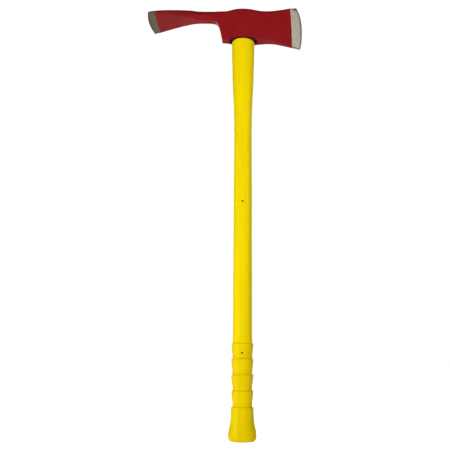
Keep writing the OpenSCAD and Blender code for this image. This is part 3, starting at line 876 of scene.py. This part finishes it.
def annulus(name, w, inner_ab, outer_ab, z_bottom, top_fn, bulge=0.0, rings=22):
    """A ring-shaped solid between two ovals, with a shaped top."""
    b = Build()
    n = len(w)
    xi, yi = oval_ring(*inner_ab, w)
    xo, yo = oval_ring(*outer_ab, w)
    t = (1 - np.cos(np.linspace(0, math.pi, rings))) / 2
    top = []
    for s in t:
        x, y = mix(xi, xo, s), mix(yi, yo, s)
        gap = np.hypot(xo - xi, yo - yi)
        z = top_fn(x, y, s * gap, (1 - s) * gap)
        s0 = b.add(np.stack([x, y, z], -1))
        top.append(np.arange(s0, s0 + n))
    side = []
    z_top = None
    m = 6
    for k in range(1, m):
        q = k / m
        zt = top_fn(xo, yo, np.hypot(xo - xi, yo - yi), 0 * xo)
        z = mix(zt, z_bottom, q)
        o = 1 + bulge * 4 * q * (1 - q) / np.hypot(xo, yo)
        s0 = b.add(np.stack([xo * o, yo * o, z], -1))
        side.append(np.arange(s0, s0 + n))
    base = []
    for s in (1.0, 0.5, 0.0):
        x, y = mix(xi, xo, s), mix(yi, yo, s)
        s0 = b.add(np.stack([x, y, np.full(n, z_bottom)], -1))
        base.append(np.arange(s0, s0 + n))
    loop = np.array(top + side + base)
    gu = np.repeat((0.004 + 0.992 * np.arange(n + 1) / n)[None, :], len(loop), 0)
    gv = np.repeat(
        np.concatenate([0.004 + 0.7 * np.arange(len(top)) / (len(top) - 1),
                        0.71 + 0.27 * (np.arange(len(loop) - len(top))) / (len(loop) - len(top))])[:, None],
        n + 1, 1)
    grid_faces(b, loop, gu, gv, wrap=True)
    grid_faces(b, np.array([base[-1], top[0]]), gu[:2], np.vstack([gv[-1], gv[-1] + 0.02]), wrap=True)
    return b.make(name)


def make_resin():
    w = even_params(22, 11, 2.1, 128)
    z0 = SEAT + EYE_H - FILL_RECESS - 0.35

    def top(x, y, di, do):
        p = np.stack([x, y, 0 * x], -1)
        return (
            z0
            + 0.85 * np.exp(-do / 1.1)
            + 0.5 * np.exp(-di / 0.9)
            + 0.05 * value_noise(p, 6.0)
        )

    return annulus("eye_resin", w, (CORE_A + FIT, CORE_B + FIT, CORE_POW),
                   (EYE_A - FIT, EYE_B - FIT, 2.0), SEAT + DAM_HI + FIT, top)


def make_seal():
    """A flanged rubber bush: its neck fills the joint between collar and head, and its
    flange dams the eye a little way up, so that the eye's mouth stays open and dark."""
    w = even_params(19, 12, 2.2, 128)
    na, nb = 18.7, EYE_B - 0.3
    fa, fb = EYE_A - FIT, EYE_B - FIT
    lo, d0, d1 = SEAT - SEAL_T, SEAT + DAM_LO, SEAT + DAM_HI
    outer = [(lo, na - 0.3, nb - 0.3, 2.2), (lo + 0.25, na, nb, 2.2), (SEAT + 2, na, nb, 2.2),
             (d0 - 1.4, na, nb, 2.2), (d0 - 0.6, na + 0.3, nb + 0.02, 2.2)]
    for i in range(1, 9):
        t = i / 8
        outer.append((d0 - 0.5 + 0.5 * step(0, 1, t), mix(na + 0.4, fa, t), mix(nb + 0.02, fb, t),
                      mix(2.2, 2.0, t)))
    outer += [(d0 + 0.5, fa, fb, 2.0), (d0 + 1.5, fa, fb, 2.0), (d1 - 0.3, fa, fb, 2.0),
              (d1, fa - 0.3, fb - 0.3, 2.0), (d1 + 0.001, fa - 4, fb - 1.2, 2.1)]
    inner = [(z, CORE_A + FIT, CORE_B + FIT, CORE_POW) for z in (lo, SEAT, SEAT + 3, d0, d1 + 0.001)]
    return tube("eye_seal_bush", outer, inner, w)


def make_plug():
    rows = [(0.35, PLUG_A - 1.1, PLUG_B - 1.1, 2.0)]
    for i in range(1, 8):
        t = math.radians(90 * i / 7)
        rows.append((0.35 + 0.8 * (1 - math.cos(t)), PLUG_A - 1.1 + 1.05 * math.sin(t),
                     PLUG_B - 1.1 + 1.05 * math.sin(t), 2.0))
    rows += [(4, PLUG_A, PLUG_B, 2.0), (8, PLUG_A, PLUG_B, 2.0), (12, PLUG_A, PLUG_B, 2.0),
             (PLUG_H - 0.3, PLUG_A, PLUG_B, 2.0), (PLUG_H, PLUG_A - 0.3, PLUG_B - 0.3, 2.0),
             (PLUG_H + 0.01, CORE_A - 0.1, CORE_B - 0.1, CORE_POW),
             (CORE_BOTTOM - FIT - 0.2, CORE_A - 0.1, CORE_B - 0.1, CORE_POW),
             (CORE_BOTTOM - FIT, CORE_A - 0.4, CORE_B - 0.4, CORE_POW)]
    w = even_params(PLUG_A, PLUG_B, 2.0, 112)

    def dish(x, y, t):
        # shallow dish with a moulding gate's stub in the middle
        r = np.hypot(x, y)
        return 0.5 * step(1.0, 0.55, t) - 0.35 * step(1.6, 0.9, r)

    return solid_rows("butt_plug_face", rows, w, bottom_fn=dish, caps=22)


# ---------------------------------------------------------------- materials
class Nodes:
    """Short calls for building one material's node tree."""

    def __init__(self, name):
        self.mat = bpy.data.materials.new(name)
        self.mat.use_nodes = True
        self.nt = self.mat.node_tree
        self.nt.nodes.clear()
        self.out = self.new("ShaderNodeOutputMaterial")
        self.bsdf = self.new("ShaderNodeBsdfPrincipled")
        self.nt.links.new(self.bsdf.outputs[0], self.out.inputs["Surface"])
        self.coord = self.new("ShaderNodeTexCoord").outputs["Object"]

    def new(self, kind, **props):
        n = self.nt.nodes.new(kind)
        for k, v in props.items():
            setattr(n, k, v)
        return n

    def set(self, socket, value):
        if hasattr(value, "is_output"):
            self.nt.links.new(value, socket)
        elif isinstance(value, (tuple, list)) and len(value) == 3 and socket.type == "RGBA":
            socket.default_value = (*value, 1.0)
        else:
            socket.default_value = value

    def put(self, name, value):
        self.set(self.bsdf.inputs[name], value)

    def math(self, op, a, b=0.0, c=0.0, clamp=False):
        n = self.new("ShaderNodeMath", operation=op, use_clamp=clamp)
        for i, x in enumerate((a, b, c)):
            self.set(n.inputs[i], x)
        return n.outputs[0]

    def vec(self, op, a, b=(0, 0, 0)):
        n = self.new("ShaderNodeVectorMath", operation=op)
        self.set(n.inputs[0], a)
        self.set(n.inputs[1], b)
        return n.outputs[0]

    def scaled(self, sx, sy, sz, base=None):
        return self.vec("MULTIPLY", base or self.coord, (sx, sy, sz))

    def noise(self, scale, detail=3.0, rough=0.5, at=None, dist=0.0):
        n = self.new("ShaderNodeTexNoise")
        self.set(n.inputs["Vector"], at or self.coord)
        n.inputs["Scale"].default_value = scale
        n.inputs["Detail"].default_value = detail
        n.inputs["Roughness"].default_value = rough
        n.inputs["Distortion"].default_value = dist
        return n.outputs["Fac"]

    def voronoi(self, scale, at=None, feature="F1", out="Distance", rand=1.0):
        n = self.new("ShaderNodeTexVoronoi", feature=feature)
        self.set(n.inputs["Vector"], at or self.coord)
        n.inputs["Scale"].default_value = scale
        n.inputs["Randomness"].default_value = rand
        return n.outputs[out]

    def remap(self, x, a, b, c=0.0, d=1.0, smooth=True):
        n = self.new("ShaderNodeMapRange")
        n.interpolation_type = "SMOOTHSTEP" if smooth else "LINEAR"
        self.set(n.inputs["Value"], x)
        for k, v in (("From Min", a), ("From Max", b), ("To Min", c), ("To Max", d)):
            self.set(n.inputs[k], v)
        return n.outputs[0]

    def mixc(self, fac, a, b, blend="MIX"):
        n = self.new("ShaderNodeMix", data_type="RGBA", blend_type=blend)
        self.set(n.inputs[0], fac)
        self.set(n.inputs[6], a)
        self.set(n.inputs[7], b)
        return n.outputs[2]

    def mixf(self, fac, a, b):
        n = self.new("ShaderNodeMix", data_type="FLOAT")
        self.set(n.inputs[0], fac)
        self.set(n.inputs[2], a)
        self.set(n.inputs[3], b)
        return n.outputs[0]

    def attr(self, name):
        n = self.new("ShaderNodeAttribute", attribute_name=name)
        return n.outputs["Fac"]

    def xyz(self, v=None):
        n = self.new("ShaderNodeSeparateXYZ")
        self.set(n.inputs[0], v or self.coord)
        return n.outputs

    def bump(self, height, distance, strength=1.0, normal=None):
        n = self.new("ShaderNodeBump")
        n.inputs["Strength"].default_value = strength
        n.inputs["Distance"].default_value = distance
        self.set(n.inputs["Height"], height)
        if normal is not None:
            self.set(n.inputs["Normal"], normal)
        return n.outputs[0]


def mat_head():
    m = Nodes("red_enamel_and_ground_steel")
    su, sh = m.attr("su"), m.attr("sh")
    x, y, z = m.xyz()
    ragged = m.remap(m.noise(900.0, 2.0, 0.6), 0.3, 0.7, -0.22, 0.22)
    wave = m.remap(m.noise(90.0, 1.0, 0.5), 0.3, 0.7, -0.25, 0.25)
    edge_noise = m.math("ADD", ragged, wave)
    # signed distance past each paint line, in mm. The bit's line is masked and crisp,
    # and the hoe's fades out over a few mm
    d_bit = m.math("ADD", m.math("SUBTRACT", su, BIT_LINE), edge_noise)
    d_hoe = m.math("ADD", m.math("SUBTRACT", HOE_LINE, su), m.math("MULTIPLY", edge_noise, 2.2))
    d = m.math("MAXIMUM", d_bit, d_hoe)
    bare_bit = m.remap(d_bit, -0.08, 0.08)
    bare_hoe = m.remap(d_hoe, -1.4, 1.9)
    bare = m.math("MAXIMUM", bare_bit, bare_hoe)
    hoe_side = m.remap(su, -60.0, -61.0, smooth=False)

    # --- enamel
    big = m.noise(28.0, 3.0, 0.55)
    fine = m.noise(160.0, 4.0, 0.6)
    red = m.mixc(m.remap(big, 0.32, 0.68), (0.243, 0.0079, 0.0098), (0.290, 0.0102, 0.0125))
    red = m.mixc(m.remap(fine, 0.35, 0.75, 0.0, 0.35), red, (0.220, 0.0076, 0.0093))
    # Painted shade: the enamel is darkened, patchily, along its rounded edges, more so on the hoe's side.
    patchy = m.remap(m.noise(75.0, 3.0, 0.6), 0.25, 0.75, 0.62, 1.0)
    rim = m.math("MULTIPLY", m.remap(m.attr("rim"), 0.05, 0.85), patchy)
    red = m.mixc(m.math("MULTIPLY", rim, m.mixf(hoe_side, 0.68, 0.84)), red, (0.046, 0.0036, 0.0036))
    # Painted shade: a dark band on the enamel along the bit's paint line.
    line_in = m.math("MULTIPLY", m.remap(d_bit, -2.0, -0.5), m.remap(d_bit, 0.3, -0.1))
    red = m.mixc(m.math("MULTIPLY", line_in, 0.88), red, (0.060, 0.004, 0.004))
    hoe_in = m.math("MULTIPLY", m.remap(d_hoe, -7.0, -1.0), hoe_side)
    red = m.mixc(m.math("MULTIPLY", hoe_in, 0.45), red, (0.150, 0.022, 0.014))
    # Painted shade: a darker ring on the head's underside beside the collar, where the collar shades it.
    cx = m.math("DIVIDE", m.math("ABSOLUTE", m.math("MULTIPLY", x, 1000.0)), COLLAR_A + 4.2)
    cy = m.math("DIVIDE", m.math("ABSOLUTE", m.math("MULTIPLY", y, 1000.0)), COLLAR_B + 4.2)
    oval = m.math("ADD", m.math("POWER", cx, 2.2), m.math("POWER", cy, 2.2))
    near = m.math("MULTIPLY", m.remap(oval, 1.55, 0.78), m.remap(sh, 1.6, 0.4))
    red = m.mixc(m.math("MULTIPLY", near, 0.75), red, (0.020, 0.002, 0.002))

    # --- ground steel: fine lines run across each bevel, from the paint to the edge
    lines_bit = m.noise(1.0, 3.0, 0.65, at=m.scaled(60.0, 60.0, 2600.0))
    lines_hoe = m.noise(1.0, 3.0, 0.65, at=m.scaled(60.0, 2600.0, 60.0))
    lines = m.mixf(hoe_side, lines_bit, lines_hoe)
    cloud = m.noise(110.0, 4.0, 0.65)
    steel_bit = m.mixc(m.remap(lines, 0.3, 0.7), (0.512, 0.474, 0.352), (0.630, 0.586, 0.450))
    steel_bit = m.mixc(m.remap(cloud, 0.46, 0.72, 0.0, 0.45), steel_bit, (0.400, 0.370, 0.270))
    # A pinkish painted highlight on the steel's shoulder just past the masked line.
    past = m.math("MULTIPLY", m.remap(d_bit, 4.2, 0.8), 0.72)
    steel_bit = m.mixc(past, steel_bit, (0.760, 0.510, 0.410))
    # The hoe's ground steel is a much darker copy of the bit's: painted shade for its bevel, which faces
    # down, away from the lights.
    steel_hoe_shaded = m.mixc(m.remap(lines, 0.3, 0.7), (0.080, 0.067, 0.031), (0.112, 0.094, 0.044))
    steel_hoe_shaded = m.mixc(m.remap(cloud, 0.45, 0.75, 0.0, 0.4), steel_hoe_shaded, (0.067, 0.055, 0.027))
    steel = m.mixc(hoe_side, steel_bit, steel_hoe_shaded)
    # Painted shade: a dark honed strip at the very edge, and a dark ground-back toe of the bit.
    e_bit = m.math("SUBTRACT", BIT_REACH, su)
    e_hoe = m.math("ADD", su, HOE_REACH)
    e = m.math("MINIMUM", e_bit, e_hoe)
    honed = m.remap(m.math("ADD", e, m.math("MULTIPLY", edge_noise, 0.8)), 4.4, 2.0)
    over = m.math("SUBTRACT", sh, m.math("ADD", TOE_H - 9.0, m.math("MULTIPLY", e_bit, 0.20)))
    toe = m.math("MULTIPLY", m.remap(over, -1.6, 3.6), bare_bit)
    steel = m.mixc(m.math("MULTIPLY", toe, 0.86), steel, (0.082, 0.078, 0.062))
    steel = m.mixc(m.math("MULTIPLY", honed, m.mixf(hoe_side, 0.88, 0.80)), steel, (0.058, 0.054, 0.042))
    # Painted shade along the rounded edges of the steel as well.
    steel = m.mixc(m.math("MULTIPLY", rim, 0.60), steel, (0.064, 0.060, 0.047))
    # Painted shade along the lower edge of the bit's heel, which drops towards the tip.
    along = m.math("DIVIDE", m.math("SUBTRACT", su, BIT_LINE), BIT_BEVEL)
    low = m.math("MULTIPLY", m.math("ADD", m.math("MULTIPLY", along, 0.28), 0.72), -HEEL)
    above = m.math("ADD", m.math("SUBTRACT", sh, low), m.math("MULTIPLY", edge_noise, 0.8))
    heel = m.math("MULTIPLY", m.remap(above, 2.4, 0.3), bare_bit)
    steel = m.mixc(m.math("MULTIPLY", heel, 0.72), steel, (0.070, 0.066, 0.052))

    colour = m.mixc(bare, red, steel)
    m.put("Base Color", colour)
    m.put("Metallic", m.mixf(bare, 0.0, 0.35))
    r_paint = m.remap(m.noise(60.0, 3.0, 0.6), 0.3, 0.7, 0.40, 0.50)
    r_paint = m.mixf(m.remap(m.noise(420.0, 2.0, 0.5), 0.5, 0.8), r_paint, 0.52)
    r_paint = m.mixf(rim, r_paint, 0.62)
    r_steel = m.remap(lines, 0.3, 0.7, 0.34, 0.50)
    m.put("Roughness", m.mixf(bare, r_paint, r_steel))
    m.put("Specular IOR Level", m.mixf(bare, m.mixf(rim, 0.10, 0.04), 0.35))
    m.put("Specular Tint", m.mixc(bare, (1.0, 0.26, 0.25), (1.0, 0.97, 0.88)))

    # --- relief: forging lumps, orange peel and dust nibs in the film; lines on steel
    lumps = m.noise(55.0, 3.0, 0.5)
    peel = m.noise(620.0, 2.0, 0.5)
    nibs = m.remap(m.voronoi(260.0), 0.16, 0.02, 0.0, 1.0)
    h_paint = m.math("ADD", m.math("MULTIPLY", lumps, 0.9), m.math("MULTIPLY", peel, 0.07))
    h_paint = m.math("ADD", h_paint, m.math("MULTIPLY", nibs, 0.05))
    h_steel = m.math("MULTIPLY", lines, 0.05)
    h = m.mixf(bare, m.math("ADD", h_paint, 0.12), h_steel)
    m.put("Normal", m.bump(h, 0.0006, 0.9))
    return m.mat


def mat_yellow(name, light, dark, rough, peel_scale, fibre=0.0, pale=None):
    """Moulded plastic: flow streaks along the handle, a fine mould texture, scuffs."""
    m = Nodes(name)
    inside = m.attr("inside")
    streak = m.noise(1.0, 3.0, 0.55, at=m.scaled(190.0, 190.0, 9.0))
    cloud = m.noise(22.0, 3.0, 0.5)
    col = m.mixc(m.remap(streak, 0.3, 0.7), dark, light)
    col = m.mixc(m.remap(cloud, 0.35, 0.7, 0.0, 0.35), col, pale or light)
    # faint long scuffs and dull rubbed patches from handling
    scuff = m.noise(1.0, 4.0, 0.7, at=m.scaled(520.0, 520.0, 34.0))
    rub = m.remap(scuff, 0.60, 0.72)
    col = m.mixc(m.math("MULTIPLY", rub, 0.10), col, (0.60, 0.44, 0.02))
    # specks of dust moulded in or lodged in the texture
    speck = m.remap(m.voronoi(150.0), 0.055, 0.03)
    col = m.mixc(m.math("MULTIPLY", speck, 0.28), col, (0.35, 0.24, 0.02))
    # Painted shade: the walls of the locating holes and the bore are painted dark brown.
    col = m.mixc(m.remap(inside, 0.2, 0.9, 0.0, 0.90), col, (0.170, 0.062, 0.002))
    # Dirt, and painted shade, where each ring meets the next.
    crease_dirt_and_shade = m.math("MULTIPLY", m.attr("crease"), m.remap(m.noise(120.0, 3.0, 0.6), 0.25, 0.7, 0.45, 1.0))
    col = m.mixc(m.math("MULTIPLY", crease_dirt_and_shade, 0.10), col, (0.260, 0.165, 0.003))
    m.put("Base Color", col)
    m.put("Specular Tint", (1.0, 0.84, 0.03))
    m.put("Specular IOR Level", m.remap(inside, 0.2, 0.9, 0.42, 0.10))
    r = m.remap(m.noise(45.0, 3.0, 0.6), 0.3, 0.7, rough - 0.05, rough + 0.06)
    r = m.mixf(rub, r, min(0.9, rough + 0.22))
    m.put("Roughness", r)
    grain = m.voronoi(peel_scale, feature="SMOOTH_F1")
    h = m.math("ADD", m.math("MULTIPLY", grain, 0.10), m.math("MULTIPLY", m.noise(260.0, 2.0, 0.5), 0.16))
    h = m.math("ADD", h, m.math("MULTIPLY", streak, 0.22))
    h = m.math("SUBTRACT", h, m.math("MULTIPLY", rub, 0.05))
    m.put("Normal", m.bump(h, 0.0004, 0.8))
    return m.mat


def mat_fibre():
    m = Nodes("pultruded_glass_fibre")
    # long strands down the rod, and their cut ends across its sawn faces
    x, y, z = m.xyz()
    strand = m.noise(1.0, 4.0, 0.7, at=m.scaled(1500.0, 1500.0, 14.0))
    ends = m.voronoi(1500.0, at=m.scaled(1.0, 1.0, 0.01))
    saw = m.noise(1.0, 3.0, 0.6, at=m.scaled(90.0, 1400.0, 90.0))
    g = m.new("ShaderNodeNewGeometry").outputs["Normal"]
    nz = m.math("ABSOLUTE", m.xyz(g)[2])
    face = m.remap(nz, 0.7, 0.95)
    # The rod's sides, seen only down the locating holes, are painted dark brown: painted shade for the
    # holes' depth.
    side = m.mixc(m.remap(strand, 0.3, 0.7), (0.150, 0.055, 0.006), (0.220, 0.088, 0.010))
    end = m.mixc(m.remap(ends, 0.1, 0.6), (0.66, 0.62, 0.44), (0.36, 0.31, 0.18))
    end = m.mixc(m.remap(m.noise(260.0, 3.0, 0.6), 0.45, 0.7, 0.0, 0.5), end, (0.50, 0.45, 0.27))
    m.put("Base Color", m.mixc(face, side, end))
    m.put("Roughness", m.mixf(face, 0.50, m.remap(saw, 0.3, 0.7, 0.6, 0.8)))
    m.put("Specular IOR Level", m.mixf(face, 0.06, 0.35))
    h = m.mixf(face, strand, m.math("ADD", m.math("MULTIPLY", ends, 0.5), saw))
    m.put("Normal", m.bump(h, 0.00018, 0.8))
    return m.mat


def mat_resin():
    m = Nodes("cast_amber_epoxy")
    cloud = m.noise(140.0, 3.0, 0.6)
    col = m.mixc(m.remap(cloud, 0.3, 0.7), (0.130, 0.058, 0.011), (0.240, 0.118, 0.024))
    pits = m.remap(m.voronoi(420.0), 0.10, 0.05)
    col = m.mixc(m.math("MULTIPLY", pits, 0.6), col, (0.30, 0.20, 0.10))
    m.put("Base Color", col)
    m.put("Roughness", m.remap(m.noise(90.0, 2.0, 0.5), 0.3, 0.7, 0.16, 0.28))
    m.put("Coat Weight", 0.08)
    m.put("Specular IOR Level", 0.30)
    m.put("Specular Tint", (1.0, 0.70, 0.40))
    m.put("Coat Roughness", 0.08)
    h = m.math("SUBTRACT", m.math("MULTIPLY", m.noise(110.0, 2.0, 0.5), 0.5), m.math("MULTIPLY", pits, 0.5))
    m.put("Normal", m.bump(h, 0.0004, 0.7))
    return m.mat


def mat_seal():
    m = Nodes("black_dam_rubber_and_painted_shade")
    g = m.noise(500.0, 3.0, 0.6)
    # Near-black: the rubber's black also carries painted shade for the deep mouth of the eye.
    m.put("Base Color", m.mixc(m.remap(g, 0.3, 0.7), (0.008, 0.008, 0.008), (0.022, 0.021, 0.020)))
    m.put("Roughness", m.remap(g, 0.3, 0.7, 0.62, 0.82))
    m.put("Normal", m.bump(g, 0.0002, 0.8))
    return m.mat


# ---------------------------------------------------------------- pieces
def piece(ob, node, mat, angle=35.0):
    smooth(ob, angle)
    ob.data.materials.append(mat)
    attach(ob, "root")
    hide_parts(node)
    return ob


jacket_mat = mat_yellow("jacket_polypropylene", (0.924, 0.702, 0.0012), (0.874, 0.653, 0.0010),
                        0.46, 1500.0, pale=(0.946, 0.722, 0.0018))
grip_mat = mat_yellow("grip_plastic", (0.898, 0.666, 0.0010), (0.838, 0.612, 0.0008),
                      0.40, 1200.0, pale=(0.922, 0.681, 0.0014))
plug_mat = mat_yellow("plug_plastic", (0.74, 0.545, 0.0012), (0.68, 0.49, 0.0010), 0.55, 1200.0)

piece(make_head(), "head", mat_head(), 28.0)
piece(make_jacket(), "shaft_jacket", jacket_mat, 40.0)
piece(make_grip(), "grip", grip_mat, 40.0)
piece(make_core(), "core_rod", mat_fibre(), 40.0)
piece(make_resin(), "epoxy_fill", mat_resin(), 40.0)
piece(make_seal(), "eye_seal", mat_seal(), 40.0)
piece(make_plug(), "butt_plug", plug_mat, 40.0)


# ---------------------------------------------------------------- stage
def floor():
    b = Build()
    r = 9000.0
    pts = [(-r, -r, -0.3), (r, -r, -0.3), (r, r, -0.3), (-r, r, -0.3)]
    s = b.add(pts)
    b.face([s, s + 1, s + 2, s + 3], [(0, 0), (1, 0), (1, 1), (0, 1)])
    ob = b.make("studio_floor")
    m = Nodes("pale_floor")
    m.put("Base Color", (0.80, 0.80, 0.80))
    m.put("Roughness", 0.9)
    m.put("Specular IOR Level", 0.0)
    lp = m.new("ShaderNodeLightPath")
    glow = m.mixf(lp.outputs["Is Camera Ray"], 0.20, 0.97)
    m.put("Emission Color", (1.0, 1.0, 1.0))
    m.put("Emission Strength", glow)
    # seen from below, the floor isn't there
    clear = m.new("ShaderNodeBsdfTransparent")
    under = m.new("ShaderNodeMixShader")
    m.set(under.inputs[0], m.new("ShaderNodeNewGeometry").outputs["Backfacing"])
    m.set(under.inputs[1], m.bsdf.outputs[0])
    m.set(under.inputs[2], clear.outputs[0])
    m.set(m.out.inputs["Surface"], under.outputs[0])
    ob.data.materials.append(m.mat)
    return ob


floor()

world = bpy.data.worlds.new("studio")
scene.world = world
world.use_nodes = True
nt = world.node_tree
nt.nodes.clear()
w_out = nt.nodes.new("ShaderNodeOutputWorld")
w_mix = nt.nodes.new("ShaderNodeMixShader")
w_cam = nt.nodes.new("ShaderNodeBackground")
w_env = nt.nodes.new("ShaderNodeBackground")
w_lp = nt.nodes.new("ShaderNodeLightPath")
w_cam.inputs[0].default_value = (1, 1, 1, 1)
w_cam.inputs[1].default_value = 1.02
w_env.inputs[0].default_value = (1, 1, 1, 1)
w_env.inputs[1].default_value = 0.05
nt.links.new(w_lp.outputs["Is Camera Ray"], w_mix.inputs[0])
nt.links.new(w_env.outputs[0], w_mix.inputs[1])
nt.links.new(w_cam.outputs[0], w_mix.inputs[2])
nt.links.new(w_mix.outputs[0], w_out.inputs[0])


def area(name, at, aim, size, power, size_y=None, spread=180):
    from mathutils import Vector

    d = bpy.data.lights.new(name, "AREA")
    d.shape = "RECTANGLE"
    d.size = size
    d.size_y = size_y or size
    d.energy = power
    d.spread = math.radians(spread)
    o = bpy.data.objects.new(name, d)
    scene.collection.objects.link(o)
    o.location = at
    o.rotation_mode = "QUATERNION"
    o.rotation_quaternion = (Vector(aim) - Vector(at)).to_track_quat("-Z", "Y")
    return o


MID = (0.0, 0.0, 0.45)
area("key", (-1.8, -1.7, 0.4), MID, 1.2, 16.7)
area("low_fill", (-0.9, -0.9, 0.25), (0.0, 0.0, 0.15), 0.5, 5.0, 0.4)
area("mid_fill", (0.15, -1.2, 0.65), (0.0, 0.0, 0.65), 0.5, 3.5, 0.6)
area("head_fill", (0.9, -0.9, 1.0), (0.0, 0.0, 0.85), 0.5, 1.22, 0.5, spread=90)
area("top", (0.0, 0.9, 2.6), MID, 1.6, 20.0)
area("back_left", (-0.9, 1.9, 0.9), MID, 1.0, 13.3, 1.4)
area("back_right", (0.9, 1.9, 0.9), MID, 1.0, 8.7, 1.4)

# ---------------------------------------------------------------- camera
CAM = (0.033, -1.150, 0.196)
cam_data = bpy.data.cameras.new("photo_view")
cam = bpy.data.objects.new("photo_view", cam_data)
scene.collection.objects.link(cam)
scene.camera = cam
cam_data.sensor_width = 36.0
cam_data.lens = 537.0 / 450.0 * 36.0
cam.rotation_mode = "QUATERNION"
cam.location = CAM
from mathutils import Quaternion, Vector

look = Vector((0, 1, 0)).to_track_quat("-Z", "Z")
roll = Quaternion((0, 0, 1), math.radians(0.14))
cam.rotation_quaternion = look @ roll
cam_data.clip_start = 0.01
cam_data.clip_end = 100.0
# The picture is cut from a taller view, so the lens is shifted. The shift holds only
# while the camera stands at its own place, and views from other sides are centred.
anchor = bpy.data.objects.new("photo_view_place", None)
scene.collection.objects.link(anchor)
anchor.location = CAM
for prop, value in (("shift_x", -0.0729), ("shift_y", 0.2778)):
    setattr(cam_data, prop, value)
    curve = cam_data.driver_add(prop)
    curve.driver.type = "AVERAGE"
    var = curve.driver.variables.new()
    var.type = "LOC_DIFF"
    var.targets[0].id = cam
    var.targets[1].id = anchor
    for mod in list(curve.modifiers):
        curve.modifiers.remove(mod)
    while len(curve.keyframe_points):
        curve.keyframe_points.remove(curve.keyframe_points[0])
    for away, v in ((0.0, value), (0.03, value), (0.06, 0.0)):
        key = curve.keyframe_points.insert(away, v)
        key.interpolation = "LINEAR"
    curve.extrapolation = "CONSTANT"

scene.view_settings.view_transform = "Standard"
scene.view_settings.look = "None"
scene.view_settings.exposure = 0.0
scene.view_settings.gamma = 1.0
